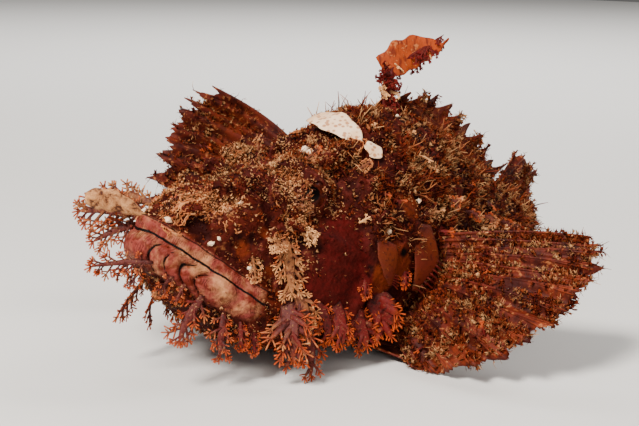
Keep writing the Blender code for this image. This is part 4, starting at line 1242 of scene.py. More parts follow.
# Rows: place, aim (ahead, out, up), length, width, branch pairs, web, paleness and sag.
TASSELS = (
    ((0.0457, 0.0275, 0.003), (0.05, 0.5, -0.6), 0.023, 0.015, 6, 0.3, 0.74, 0.8),
    ((0.043, 0.027, 0.003), (0.45, 0.7, -0.15), 0.011, 0.01, 4, 0.3, 0.85, 0.5),
    ((0.05, 0.0285, 0.004), (-0.3, 0.8, 0.1), 0.0085, 0.009, 4, 0.34, 1.0, 0.3),
    ((0.047, 0.03, -0.019), (0.1, 0.65, -0.75), 0.0255, 0.021, 7, 0.36, 0.4, 0.8),
    ((0.05, 0.031, -0.016), (-0.15, 0.7, -0.55), 0.017, 0.014, 5, 0.34, 0.6, 0.8),
    ((0.034, 0.025, -0.006), (0.1, 0.6, -0.6), 0.011, 0.007, 5, 0.16, 0.75, 0.8),
    ((0.0564, 0.0331, -0.0228), (-0.05, 0.3, -0.9), 0.027, 0.014, 5, 0.3, 0.3, 0.8),
    ((0.06, 0.0335, -0.02), (-0.45, 0.35, -0.7), 0.017, 0.012, 4, 0.34, 0.2, 0.8),
    ((0.0673, 0.0358, -0.019), (-0.2, 0.35, -0.85), 0.018, 0.015, 5, 0.4, 0.12, 0.8),
    ((0.0745, 0.036, -0.021), (-0.6, 0.3, -0.65), 0.019, 0.016, 5, 0.42, 0.15, 0.7),
    ((0.088, 0.037, -0.016), (-0.1, 0.4, -0.9), 0.015, 0.018, 5, 0.66, 0.05, 0.5),
    ((0.0789, 0.0373, -0.0088), (0.1, 0.5, -0.8), 0.0095, 0.0075, 4, 0.24, 0.15, 0.8),
    ((0.059, 0.012, 0.035), (-0.3, 0.45, 0.8), 0.01, 0.006, 4, 0.25, 0.6, 0.2),
    ((0.078, 0.026, 0.032), (-0.3, 0.6, 0.7), 0.0085, 0.006, 4, 0.25, 0.6, 0.2),
    ((0.0984, 0.0392, -0.0052), (0.1, 0.45, -0.85), 0.008, 0.007, 3, 0.3, 0.1, 0.8),
    ((0.0172, 0.0198, -0.0215), (0.65, 0.05, -0.75), 0.021, 0.015, 5, 0.24, 0.35, 0.6),
    ((0.0257, 0.0229, -0.0262), (0.25, 0.3, -0.9), 0.019, 0.012, 5, 0.24, 0.28, 0.8),
    ((0.0321, 0.0245, -0.0305), (0.0, 0.3, -0.9), 0.011, 0.0085, 4, 0.22, 0.2, 0.8),
    ((0.038, 0.0255, -0.033), (-0.1, 0.3, -0.9), 0.0095, 0.008, 4, 0.22, 0.18, 0.8),
    ((0.007, 0.0151, -0.0155), (0.8, 0.05, -0.5), 0.012, 0.0075, 4, 0.2, 0.45, 0.6),
    ((0.011, 0.0175, -0.018), (0.6, 0.1, -0.7), 0.009, 0.006, 3, 0.22, 0.35, 0.6),
)
RIGHT_TASSELS = (
    ((0.015, 0.019, 0.0025), (0.74, 0.66, 0.06), 0.037, 0.021, 8, 0.22, 0.5, 0.25),
    ((0.013, 0.017, 0.0), (0.86, 0.5, -0.25), 0.029, 0.015, 7, 0.2, 0.45, 0.35),
    ((0.018, 0.02, 0.006), (0.62, 0.75, 0.24), 0.029, 0.017, 8, 0.22, 0.6, 0.25),
    ((0.0004, -0.0088, -0.0126), (0.84, 0.52, -0.06), 0.0255, 0.0125, 7, 0.18, 0.4, 0.25),
    ((0.0006, -0.005, -0.014), (0.6, 0.3, -0.75), 0.011, 0.007, 4, 0.2, 0.4, 0.5),
)
FLANK_TASSELS = (
    ((0.124, 0.03, 0.022), (-0.6, 0.6, 0.3), 0.0105, 0.007, 4, 0.25, 0.5, 0.6),
    ((0.14, 0.027, 0.018), (-0.65, 0.65, 0.2), 0.011, 0.007, 4, 0.25, 0.4, 0.6),
    ((0.156, 0.023, 0.015), (-0.65, 0.65, 0.2), 0.0105, 0.007, 4, 0.25, 0.5, 0.6),
    ((0.172, 0.019, 0.012), (-0.7, 0.65, 0.15), 0.0095, 0.0065, 4, 0.25, 0.4, 0.6),
    ((0.188, 0.015, 0.009), (-0.7, 0.6, 0.1), 0.009, 0.006, 4, 0.25, 0.5, 0.6),
    ((0.15, 0.026, -0.012), (-0.6, 0.65, -0.1), 0.009, 0.0065, 4, 0.25, 0.4, 0.6),
    ((0.17, 0.02, -0.01), (-0.6, 0.65, -0.1), 0.0085, 0.006, 4, 0.25, 0.4, 0.6),
)
VIEW_SIDE = (0.62, 0.75, 0.2)
# The smooth pad over the tassels of the right lip.
PAD_ROOT = (0.006, -0.013, 0.0035)
PAD_REACH = (0.0178, -0.015, 0.0034)
PAD_HALF = 0.0062


def limb(heap, form, start, way, flat, length, half, thick, tip, shade, sag=0.1):
    """A short sagging branch with a slight taper; returns its middle line."""
    steps = np.linspace(0, 1, 5)[:, None]
    line = start + length * (way * steps + DOWN * sag * steps**2)
    heap.bend(form, line, flat, half * (1.05 - 0.25 * steps[:, 0]), thick, tip, None, shade)
    return line


def hand(heap, end, way, flat, size, half, shade, chance, spread, count):
    """Blunt fingers fanned at the end of a branch."""
    over = np.cross(way, flat)
    for k in range(count):
        turn = math.radians(spread * (k / (count - 1) - 0.5) * 2 + chance.uniform(-9, 9))
        out = unit(way * math.cos(turn) + flat * math.sin(turn) + over * chance.uniform(-0.3, 0.3))
        length = size * chance.uniform(0.75, 1.15) * (1 - 0.25 * abs(turn))
        across = np.cross(over, out)
        limb(heap, FINGER, end - way * half * 0.8, out, across, length, half, half * 0.7, (0.6, 1.0), shade)


def tassel(heap, root, aim, face, length, width, pairs, web, pale, seed, sag=0.8):
    """A fern-like tassel: a flat blade with branches on both sides that end in blunt fingers."""
    chance = random.Random(seed)
    aim, face = np.array(aim.normalized()), np.array(face.normalized())
    steps = np.linspace(0, 1, 11)[:, None]
    sway = np.sin(steps * math.pi * chance.uniform(1.2, 2.0) + chance.uniform(0, 6)) * 0.035
    line = root + length * (aim * (steps - sag * steps**2 / 2) + DOWN * (sag * steps**2 / 2) + face * sway)
    ahead = unit(np.gradient(line, axis=0))
    across = unit(np.cross(ahead, face))
    t = steps[:, 0]
    profile = np.interp(t, (0, 0.18, 0.45, 1.0), (0.55, 0.85, 1.0, 0.4))
    profile = profile * (1 + 0.16 * np.sin(2 * math.pi * pairs * t + chance.uniform(0, 6)))
    half = np.maximum(width / 2 * web * profile, 0.00045)
    heap.bend(STEM, line, across, half, 0.00045 - 0.00015 * t, (0.0, 0.7), None, pale)
    finger = 0.00021 + 0.0085 * width
    for k in range(2 * pairs):
        side = 1 if k % 2 else -1
        spot = 0.08 + 0.84 * (k + chance.uniform(0.1, 0.9)) / (2 * pairs)
        here = np.array([np.interp(spot, t, line[:, c]) for c in range(3)])
        row = min(int(spot * 10), 9)
        lean = math.radians(chance.uniform(34, 68) * (1.05 - 0.35 * spot))
        full = 0.55 + 0.45 * math.sin(math.pi * min(0.12 + 0.85 * spot, 1))
        reach = width / 2 * full * chance.uniform(0.75, 1.12)
        over = np.cross(ahead[row], across[row])
        way = ahead[row] * math.cos(lean) + across[row] * side * math.sin(lean)
        way = unit(way + over * chance.uniform(-0.3, 0.3))
        flat = unit(np.cross(way, over))
        shade = pale + chance.uniform(-0.15, 0.15)
        broad = max(reach * web * 0.38, finger)
        path = limb(heap, LIMB, here, way, flat, reach * 0.8, broad, 0.00036, (0.25, 0.75), shade, 0.12)
        size = max(reach * 0.44, 0.0011)
        hand(heap, path[-1], way, flat, size, finger, shade, chance, 62, 4)
        for place, turn in ((2, 50), (3, -48)):
            if reach > 0.0026:
                angle = math.radians(turn + chance.uniform(-10, 10))
                out = unit(way * math.cos(angle) + flat * math.sin(angle))
                limb(heap, FINGER, path[place], out, np.cross(over, out), size * chance.uniform(0.8, 1.2),
                     finger, finger * 0.7, (0.5, 1.0), shade)
    hand(heap, line[-1], ahead[-1], across[-1], width * 0.22, finger, pale, chance, 60, 5)


def hang_tassels(heap, host, rows, sign, prefix):
    """Tassels from a table, on one side of the fish, turned to be seen from ahead and beside it."""
    for k, (place, aim, length, width, pairs, web, pale, sag) in enumerate(rows):
        root, normal = host.nearest(beside(place, sign), 0.001)
        way = handed(aim, sign).normalized()
        face = normal * 0.6 + handed(VIEW_SIDE, sign)
        face = face - way * face.dot(way)
        seed = f"{prefix}{k}{sign}"
        size = 1.0 if sign > 0 else random.Random(seed).uniform(0.88, 1.05)
        tassel(heap, np.array(root), way, face, length * size, width * size, pairs, web, pale, seed, sag)


def hang_far_tassels(heap, host):
    """The big tassels of the right lip and chin, turned to the same view as those of the left."""
    for k, (place, aim, length, width, pairs, web, pale, sag) in enumerate(RIGHT_TASSELS):
        root, _ = host.nearest(beside(place, -1), 0.001)
        way = handed(aim, -1).normalized()
        face = Vector(VIEW_SIDE) - way * way.dot(Vector(VIEW_SIDE))
        tassel(heap, np.array(root), way, face, length, width, pairs, web, pale, f"far{k}", sag)
    t = np.linspace(0, 1, BLADE_STEPS)[:, None]
    root, _ = host.nearest(at(*PAD_ROOT), 0.0005)
    line = np.array(root) + t * np.array(PAD_REACH) + np.sin(math.pi * t) * (0, 0, 0.002)
    half = PAD_HALF * leaf_width(3.5, 0.16) * (0.45 + 0.55 * t[:, 0])
    heap.bend(PLATE, line, (0.2, 0.2, 1.0), half, 0.0016, (0.3, 0.3), None, 0.9)


class OBJECT_OT_fish_tassels(bpy.types.Operator):
    """Branching tassels of the lips, cheeks, chin and flanks"""

    bl_idname = "object.fish_tassels"
    bl_label = "Tassels"

    def execute(self, context):
        host = Host(bpy.data.objects["skin"])
        heap = Heap()
        hang_far_tassels(heap, host)
        heap.pose().make("far_lip_tassels", "tassel", "head_skin")
        for name, sign in (("left", 1), ("right", -1)):
            heap = Heap()
            hang_tassels(heap, host, TASSELS, sign, "face")
            heap.pose().make(f"face_tassels_{name}", "tassel", "head_skin")
            heap = Heap()
            hang_tassels(heap, host, FLANK_TASSELS, sign, "flank")
            heap.pose().make(f"flank_tassels_{name}", "tassel", "body_skin")
        return {"FINISHED"}


# Lacy ridges, the skin's finest folds: centre on the straight fish, the way they face, radii and span.
LACE = (
    ((0.015, 0.015, 0.0035), (0.35, 0.75, 0.55),
     (0.005, 0.006, 0.007, 0.0081, 0.0092, 0.0103, 0.0114, 0.0126, 0.0138), (-15, 200)),
    ((0.056, 0.024, 0.019), (0.45, 0.85, 0.2), (0.0092, 0.0104, 0.0117), (-60, 75)),
    ((0.0455, 0.0275, 0.001), (0.35, 0.9, 0.1), (0.0018, 0.0032, 0.0046), (0, 330)),
    ((0.0485, 0.014, 0.029), (0.45, 0.3, 0.85), (0.002, 0.0034, 0.005), (0, 330)),
    ((0.081, 0.02, 0.04), (0.3, 0.6, 0.75), (0.003, 0.0055), (0, 330)),
)
LACE_HEIGHT = 0.0008
LACE_WAVE = 0.0017
LACE_BREAK = 0.0016


def lace_arc(heap, host, centre, facing, radius, span, sign, chance):
    """A crinkled ridge on an arc over the skin, broken where the skin falls away."""
    first = (Vector((1, 0, 0)) - facing * facing.x).normalized()
    second = first.cross(facing) * sign
    count = max(12, int(math.radians(span[1] - span[0]) * radius / 0.0004))
    phase, shade = chance.uniform(0, 6), chance.uniform(0.1, 0.85)
    path, ups = [], []
    for k in range(count + 1):
        a = math.radians(span[0] + (span[1] - span[0]) * k / count)
        along = a * radius / LACE_WAVE * 2 * math.pi
        r = radius + 0.00032 * math.sin(along + phase) + 0.0004 * math.sin(0.31 * along + 2 * phase)
        place, up = host.nearest(centre + (first * math.cos(a) + second * math.sin(a)) * r)
        falls = path and np.linalg.norm(np.array(place) - path[-1]) > LACE_BREAK
        if falls or k == count or chance.random() < 0.03:
            lace_ridge(heap, path, ups, shade, chance)
            path, ups = [], []
        path.append(np.array(place))
        ups.append(np.array(up))


def lace_ridge(heap, path, ups, shade, chance):
    """One unbroken piece of ridge, standing on the skin."""
    if len(path) < 5:
        return
    t = np.linspace(0, 1, len(path))
    knots = np.array([chance.uniform(0.35, 1.1) for _ in range(12)])
    swell = np.clip(6 * t * (1 - t) + 0.25, 0, 1)
    rise = LACE_HEIGHT * np.interp(t, np.linspace(0, 1, 12), knots) * swell
    ups = unit(np.array(ups) + 0.2 * np.array([chance.uniform(-1, 1) for _ in range(3)]))
    line = np.array(path) + ups * (rise * 0.35)[:, None]
    heap.bend(LACE_ROD, line, ups, rise, 0.00021, (0.9, 0.9), None, shade, rise * 0.9)


# White chips caught on the skin: place and size. Those of the right side are shifted a little.
CHIPS = (
    ((0.0059, 0.0075, 0.0034), 0.0034), ((0.019, 0.0176, -0.0023), 0.0028), ((0.021, 0.0193, 0.0), 0.002),
    ((0.0339, 0.0234, -0.01), 0.0026), ((0.0886, 0.036, 0.009), 0.0032), ((0.1068, 0.0315, 0.0209), 0.0028),
    ((0.1137, 0.0336, 0.0097), 0.002), ((0.161, 0.0227, 0.0075), 0.0032), ((0.1895, 0.0149, 0.0001), 0.0034),
    ((0.1882, 0.0147, -0.0074), 0.0032), ((0.11, 0.008, 0.0516), 0.0026), ((0.0305, 0.016, 0.0135), 0.0022),
    ((0.0724, 0.0016, 0.0329), 0.0046),
)
FRINGE = (
    (0.004, -0.003, 0.0078), (0.0088, -0.0035, 0.0104),
    (0.015, -0.006, 0.013), (0.0215, -0.009, 0.0165),
)
FRINGE_COUNT = 30


def chip(heap, host, place, size, chance):
    """A rough chip, half sunk, turned at random."""
    points, faces = grain(2, chance.uniform(0, 9))
    spot, normal = host.nearest(place)
    upright = normal.orthogonal().normalized().to_track_quat("X", "Z").to_matrix()
    turn = Matrix.Rotation(chance.uniform(0, 6), 3, normal) @ upright
    places = (points * (1.1, 0.8, 0.7)) @ np.array(turn.transposed()) * size
    heap.add(places + np.array(spot) + np.array(normal) * size * 0.25, faces, 0.5)


def fringe(heap, host, sign):
    """A comb of curved upright fingers along the side of the snout."""
    chance = random.Random(f"fringe{sign}")
    knots = np.array([at(back, -sign * side, up) for back, side, up in FRINGE])
    for k in range(FRINGE_COUNT):
        root, _ = host.nearest(Vector(between(knots, (k + chance.random()) / FRINGE_COUNT)))
        way = Vector((0.25 + chance.uniform(-0.2, 0.2), -sign * 0.25, 1.0)).normalized()
        length = chance.uniform(0.0022, 0.0036)
        shade = chance.uniform(0.4, 0.9)
        start, across = np.array(root) - np.array(way) * 0.0004, np.array((0.6, 0.6 * sign, 0.0))
        limb(heap, FINGER, start, np.array(way), across, length, 0.00042, 0.00038, (0.1, 1.0), shade, 0.35)


class OBJECT_OT_fish_lace(bpy.types.Operator):
    """Crinkled pale ridges round the snout pits, eyes and cheek tassels, with chips and a fringe"""

    bl_idname = "object.fish_lace"
    bl_label = "Lacy ridges"

    def execute(self, context):
        host = Host(bpy.data.objects["skin"])
        heap = Heap()
        for k, (centre, facing, radii, span) in enumerate(LACE):
            for sign in (1, -1):
                chance = random.Random(f"lace{k}{sign}")
                place = beside(centre, sign)
                face = handed(facing, sign).normalized()
                for radius in radii:
                    lace_arc(heap, host, place, face, radius, span, sign, chance)
        heap.pose().make("lacy_ridges", "crust", "head_skin")
        combs, chips = Heap(), Heap()
        for sign in (1, -1):
            fringe(combs, host, sign)
            chance = random.Random(f"chips{sign}")
            for (back, side, up), size in CHIPS:
                shift = 0.0 if sign > 0 else chance.uniform(-0.004, 0.004)
                chip(chips, host, at(back + shift, sign * side, up - shift), size, chance)
        combs.pose().make("snout_fringe", "tassel", "head_skin")
        chips.pose().make("white_chips", "chip", "body_skin")
        return {"FINISHED"}


# Blades, leaf and flag.

def blade_line(root, way, length, bow):
    """A line from a root along a way, bowed aside in its middle."""
    t = np.linspace(0, 1, BLADE_STEPS)[:, None]
    return np.array(root) + np.array(way) * length * t + np.array(bow) * np.sin(math.pi * t)


def leaf_width(lobes, depth, start=0.0):
    """Half width of a leaf along its line, from 0 to 1, with lobes cut into its edge."""
    t = np.linspace(0, 1, BLADE_STEPS)
    body = np.sin(math.pi * np.clip(t * 0.93 + start, 0, 1)) ** 0.55
    return body * (1 - depth * (0.5 - 0.5 * np.cos(2 * math.pi * lobes * t)))


# The middle lines of the nape's leaf and of the small blob behind it.
LEAF_BENDS = (
    (0.0818, -0.01, 0.0462), (0.0808, 0.0015, 0.0465), (0.0824, 0.0106, 0.0436), (0.085, 0.019, 0.0392),
)
BLOB_BENDS = ((0.086, 0.019, 0.0392), (0.0887, 0.0216, 0.037), (0.0908, 0.024, 0.0344))
LEAF_FACE = (0.5, 0.3, 0.8)
GILL_COMB = 8


def between(line, t):
    """A place on a line of evenly spaced points."""
    steps = np.linspace(0, 1, len(line))
    return np.array([np.interp(t, steps, line[:, c]) for c in range(3)])


def side_blade(blades, combs, host, sign):
    """The tapering flap over the gill opening, with a comb of blunt teeth on its lower rear edge."""
    root, _ = host.nearest(at(0.1065, sign * 0.0385, 0.014), 0.0006)
    way = Vector((0.02, sign * 0.12, -0.98)).normalized()
    rearward = (Vector((-1.0, sign * 0.1, 0.0)) - way * way.x * -1.0).normalized()
    line = blade_line(root, way, 0.0265, Vector((0, sign * 0.003, 0)))
    t = np.linspace(0, 1, BLADE_STEPS)
    rear = np.interp(t, (0, 0.25, 0.5, 0.75, 1), (0.0058, 0.0076, 0.0092, 0.0054, 0.001))
    front = np.interp(t, (0, 0.5, 1), (0.0049, 0.0037, 0.001))
    blades.bend(PLATE, line, np.array(-rearward) * sign, *blade_widths(front, rear, sign))
    back = np.array(rearward)
    for k in range(GILL_COMB):
        spot = 0.5 + 0.47 * k / (GILL_COMB - 1)
        start = between(line, spot) + back * np.interp(spot, t, rear) * 0.85
        lean = back * 0.9 + np.array((0.0, 0.0, -0.4))
        length = 0.0042 + 0.0016 * math.sin(3.1 * k / GILL_COMB)
        limb(combs, FINGER, start, unit(lean), np.array(way), length, 0.0005, 0.00042, (0.2, 0.8), 0.02, 0.12)


def blade_widths(front, rear, sign):
    """Half widths of a blade to either side of its line, with its thickness."""
    shared = (0.0005, (0.0, 1.0), None, 0.5)
    return (front, *shared, rear) if sign > 0 else (rear, *shared, front)


def cheek_flap(blades, combs, host, sign):
    """The smaller flap behind the cheek, with a few blunt teeth at its lower end."""
    root, _ = host.nearest(at(0.084, sign * 0.0385, 0.006), 0.0004)
    way = Vector((-0.42, sign * 0.06, -0.93)).normalized()
    rearward = (Vector((-1.0, sign * 0.1, 0.0)) - way * way.x * -1.0).normalized()
    t = np.linspace(0, 1, BLADE_STEPS)
    line = blade_line(root, way, 0.02, Vector((0, sign * 0.0022, 0)))
    rear = np.interp(t, (0, 0.25, 0.5, 0.8, 1), (0.0006, 0.0058, 0.0046, 0.0024, 0.0006))
    front = np.interp(t, (0, 0.3, 0.7, 1), (0.0016, 0.0042, 0.0034, 0.0006))
    blades.bend(PLATE, line, np.array(-rearward) * sign, *blade_widths(front, rear, sign))
    for k in range(5):
        start = between(line, 0.8 + 0.045 * k) + np.array(rearward) * 0.001
        lean = np.array(rearward) * 0.8 + np.array((0.0, 0.0, -0.2 - 0.12 * k))
        limb(combs, FINGER, start, unit(lean), np.array(way), 0.0036, 0.00045, 0.0004, (0.2, 0.8), 0.02, 0.2)


class OBJECT_OT_fish_blades(bpy.types.Operator):
    """Blades of the gill covers with their combs, and the pale leaf of the nape"""

    bl_idname = "object.fish_blades"
    bl_label = "Gill blades and nape leaf"

    def execute(self, context):
        host = Host(bpy.data.objects["skin"])
        blades, combs = Heap(), Heap()
        for sign in (1, -1):
            side_blade(blades, combs, host, sign)
            cheek_flap(blades, combs, host, sign)
        blades.pose().make("gill_blades", "blade", "head_skin")
        combs.pose().make("gill_combs", "tassel", "head_skin")
        leaf = Heap()
        face = np.array(Vector(LEAF_FACE).normalized())
        for bends, wide in ((LEAF_BENDS, 0.0076 * leaf_width(2.5, 0.14, 0.12)),
                            (BLOB_BENDS, 0.0042 * leaf_width(1.5, 0.2, 0.06))):
            knots = np.array([at(*place) for place in bends])
            line = np.array([between(knots, s) for s in np.linspace(0, 1, BLADE_STEPS)]) + face * 0.002
            across = np.cross(unit(np.gradient(line, axis=0)), face)
            leaf.bend(PLATE, line, across, wide, 0.00045, wide_left=wide * 0.85)
        leaf.pose().make("nape_leaf", "leaf", "head_skin")
        return {"FINISHED"}


# Eyes.

class OBJECT_OT_fish_eyes(bpy.types.Operator):
    """Eyeballs and their fleshy lids"""

    bl_idname = "object.fish_eyes"
    bl_label = "Eyes"

    def execute(self, context):
        radius = context.scene.fish_sizes.eye_radius
        lids = Heap()
        for name, sign in (("eye_left", 1), ("eye_right", -1)):
            centre = beside(EYE_CENTRE, sign)
            gaze = handed(EYE_GAZE, sign).normalized()
            form = bmesh.new()
            bmesh.ops.create_icosphere(form, subdivisions=5, radius=radius, matrix=Matrix.Translation(centre))
            straight, faces = as_arrays(form)
            heap = Heap()
            turned = unit(straight - np.array(centre)) @ np.array(gaze)
            heap.add(straight, faces, np.arccos(np.clip(turned, -1, 1)) / (math.pi / 2))
            eye = heap.pose().make(name + "_ball", "eye", "eye")
            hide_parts(name)
            across = gaze.cross(Vector((0, 0, 1))).normalized()
            over = across.cross(gaze)
            wide, tall, ahead = LID_RING
            ring = []
            for a in np.linspace(0, 2 * math.pi, 33):
                aside = across * math.cos(a) * wide + over * math.sin(a) * tall
                ring.append(centre + gaze * radius * ahead + aside * radius)
            zone = zones_of(np.array([centre + gaze * radius]))[0]
            lids.bend(RING, ring, np.array(gaze), LID_HALF, LID_THICK, (0.2, 0.2), zone)
        lids.pose().make("eye_lids", "skin", "head_skin")
        return {"FINISHED"}


# Fins.

PECTORAL_RAYS = 14
PELVIC_RAYS = 6
TAIL_RAYS = 11
SPINE_LENGTHS = (0.009, 0.013, 0.017, 0.019, 0.02, 0.02, 0.02, 0.019, 0.018, 0.016, 0.013, 0.017)
SPINE_LEANS = (42, 45, 48, 50, 52, 54, 55, 56, 58, 60, 62, 58)
ANAL_LENGTHS = (0.012, 0.019, 0.021, 0.026, 0.027, 0.025, 0.021)
TOP, BOTTOM = 2, 3
FLAG_FOOT = (0.11, 0.0, 0.0495)
FLAG_TOP = (0.1092, -0.0005, 0.071)
FLAG_WAY = (-0.72, 0.26, 0.62)
FLAG_FACE = (0.45, 0.9, 0.1)
STALK_TUFTS = 70


def floor_up(back):
    """Height of the floor in the straight fish's frame, ahead of the bend."""
    return (FLOOR + back * math.sin(HEAD_LIFT)) / math.cos(HEAD_LIFT)


def pectoral_rays(sign, forward, sweep, lift, reach):
    """Roots and tips of a broad fan's rays, from its top ray to its lowest."""
    bases, tips = [], []
    for k in range(PECTORAL_RAYS):
        u = k / (PECTORAL_RAYS - 1)
        up = 0.007 - 0.033 * u
        back = 0.121 - 0.011 * u * u
        base = at(back, trunk_side(back, up) - 0.0045, up)
        rise = lift * (1 - u) ** 0.6 - 0.58 * u * u
        away = Vector((forward + sweep * u, 0.92 - 0.1 * u, rise)).normalized()
        tip = base + away * (reach + 0.048 * u - 0.082 * u * u)
        tip.z = max(tip.z, floor_up(-tip.x) + 0.0006)
        bases.append(handed(base, sign))
        tips.append(handed(tip, sign))
    return bases, tips


def pelvic_rays(sign):
    """Roots and tips of a short fan under the breast."""
    bases, tips = [], []
    for k in range(PELVIC_RAYS):
        u = k / (PELVIC_RAYS - 1)
        back, reach = 0.088 + 0.014 * u, 0.03 + 0.02 * math.sin(math.pi * (0.25 + 0.75 * u))
        base = at(back, 0.015 - 0.003 * u, smooth(TRUNK, 3, back) + 0.006)
        turn = math.radians(22 + 58 * u)
        tip = at(back + reach * math.sin(turn), 0.015 + reach * math.cos(turn), 0)
        tip.z = floor_up(-tip.x) + 0.0008
        bases.append(handed(base, sign))
        tips.append(handed(tip, sign))
    return bases, tips


def middle_rays(first, last, lengths, leans, column):
    """Roots and tips of a fin on the midline of the back or belly."""
    up = 1 if column == TOP else -1
    bases, tips = [], []
    for k, (length, lean) in enumerate(zip(lengths, leans)):
        back = first + (last - first) * k / (len(lengths) - 1)
        base = at(back, 0, smooth(TRUNK, column, back) - up * 0.0045)
        away = at(math.sin(math.radians(lean)), 0, up * math.cos(math.radians(lean)))
        bases.append(base)
        tips.append(base + away * (length + 0.0045))
    return bases, tips


def tail_rays():
    """Roots and tips of the rounded tail fin."""
    bases, tips = [], []
    for k in range(TAIL_RAYS):
        u = 2 * k / (TAIL_RAYS - 1) - 1
        bases.append(at(0.2465, 0, 0.0098 * u))
        tips.append(at(0.306 - 0.007 * u * u, 0, 0.0262 * u))
    return bases, tips


def across_rays(ends, u):
    """A place between neighbouring rays' ends."""
    steps = np.arange(len(ends))
    return np.array([np.interp(u, steps, ends[:, c]) for c in range(3)])


def fin(name, rays, notch, ray_radius, bow=(0, 0, 0), ruffle=0.0012, bends=True, forked=True, seed=1):
    """A ruffled membrane between rays, with a ridge for each ray and a ragged edge."""
    bases, tips = (np.array(ends) for ends in rays)
    count = len(bases)
    phases = np.random.default_rng(seed).uniform(0, 2 * math.pi, 4)

    def place(u, v):
        base, tip = across_rays(bases, u), across_rays(tips, u)
        return base + (tip - base) * v + np.array(bow) * math.sin(math.pi * v)

    middle = place((count - 1) / 2, 0.5)
    spread = place(count - 1, 0.6) - place(0, 0.6)
    facing = unit(np.cross(spread, place((count - 1) / 2, 1.0) - middle))

    def ruffled(u, v):
        wave = 0.7 * math.sin(2 * math.pi * u + phases[1]) + math.sin(2.2 * u + 5 * v + phases[2])
        return place(u, v) + facing * wave * ruffle * v

    sheet = bmesh.new()
    bmesh.ops.create_grid(sheet, x_segments=(count - 1) * 8, y_segments=18, size=1.0)
    for vertex in sheet.verts:
        u = (vertex.co.x + 1) / 2 * (count - 1)
        ragged = notch * math.sin(math.pi * (u % 1.0)) ** 2 + 0.02 * math.sin(5.3 * u + phases[0])
        ragged += 0.014 * math.sin(23 * u + phases[3])
        vertex.co = Vector(ruffled(u, (vertex.co.y + 1) / 2 * (1 - ragged)))
    bmesh.ops.recalc_face_normals(sheet, faces=sheet.faces)
    bmesh.ops.solidify(sheet, geom=sheet.faces[:], thickness=0.00045)
    bmesh.ops.recalc_face_normals(sheet, faces=sheet.faces)
    points, faces = as_arrays(sheet)
    heap = Heap()
    reach = np.linalg.norm(points - bases.mean(axis=0), axis=1)
    heap.add(points, faces, np.clip(reach / reach.max(), 0, 1) ** 2 * 0.9, None, 0.3)
    for k in range(count):
        steps = np.linspace(0, 0.99, 12)
        line = np.array([ruffled(k, v) for v in steps])
        thick = ray_radius * (1 - 0.6 * steps)
        heap.bend(STEM, line, facing, thick, thick, (0.0, 1.0), None, 0.7)
        for side in (-1, 1) if forked else ():
            u = min(max(k + 0.2 * side, 0), count - 1)
            fork = np.array([ruffled(k + (u - k) * s, 0.66 + 0.31 * s) for s in np.linspace(0, 1, 6)])
            heap.bend(FINGER, fork, facing, ray_radius * 0.5, ray_radius * 0.5, (0.6, 1.0), None, 0.7)
    straight = np.concatenate(heap.points)
    obj = heap.pose(bends).make(name, "fin", "fin")
    store_places(obj.data, straight)
    return obj


FINS = (
    ("dorsal_fin_soft", lambda: middle_rays(0.188, 0.222, (0.026,) * 8, (52,) * 8, TOP), 0.08, 0.0007, {}),
    ("anal_fin", lambda: middle_rays(0.168, 0.198, ANAL_LENGTHS, (73,) * 7, BOTTOM), 0.12, 0.0008, {}),
    ("tail_fin", tail_rays, 0.05, 0.0007, {}),
    ("pectoral_fin_left", lambda: pectoral_rays(1, -0.45, 0.78, 0.18, 0.066), 0.05, 0.0008,
     {"bow": (0.003, 0.0, 0.001), "bends": False, "ruffle": 0.0018}),
    ("pectoral_fin_right", lambda: pectoral_rays(-1, 0.62, 0.45, 0.72, 0.084), 0.05, 0.0008,
     {"bow": (-0.015, -0.011, 0.006), "bends": False, "ruffle": 0.0018}),
    ("pelvic_fin_left", lambda: pelvic_rays(1), 0.08, 0.0008, {"bends": False, "ruffle": 0.0004}),
    ("pelvic_fin_right", lambda: pelvic_rays(-1), 0.08, 0.0008, {"bends": False, "ruffle": 0.0004}),
)


class OBJECT_OT_fish_fins(bpy.types.Operator):
    """The fins apart from the spiny one of the back"""

    bl_idname = "object.fish_fins"
    bl_label = "Fins"

    def execute(self, context):
        for k, (name, rays, notch, radius, options) in enumerate(FINS):
            made = fin(name + "_web", rays(), notch, radius, seed=k, **options)
            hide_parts(name)
        return {"FINISHED"}


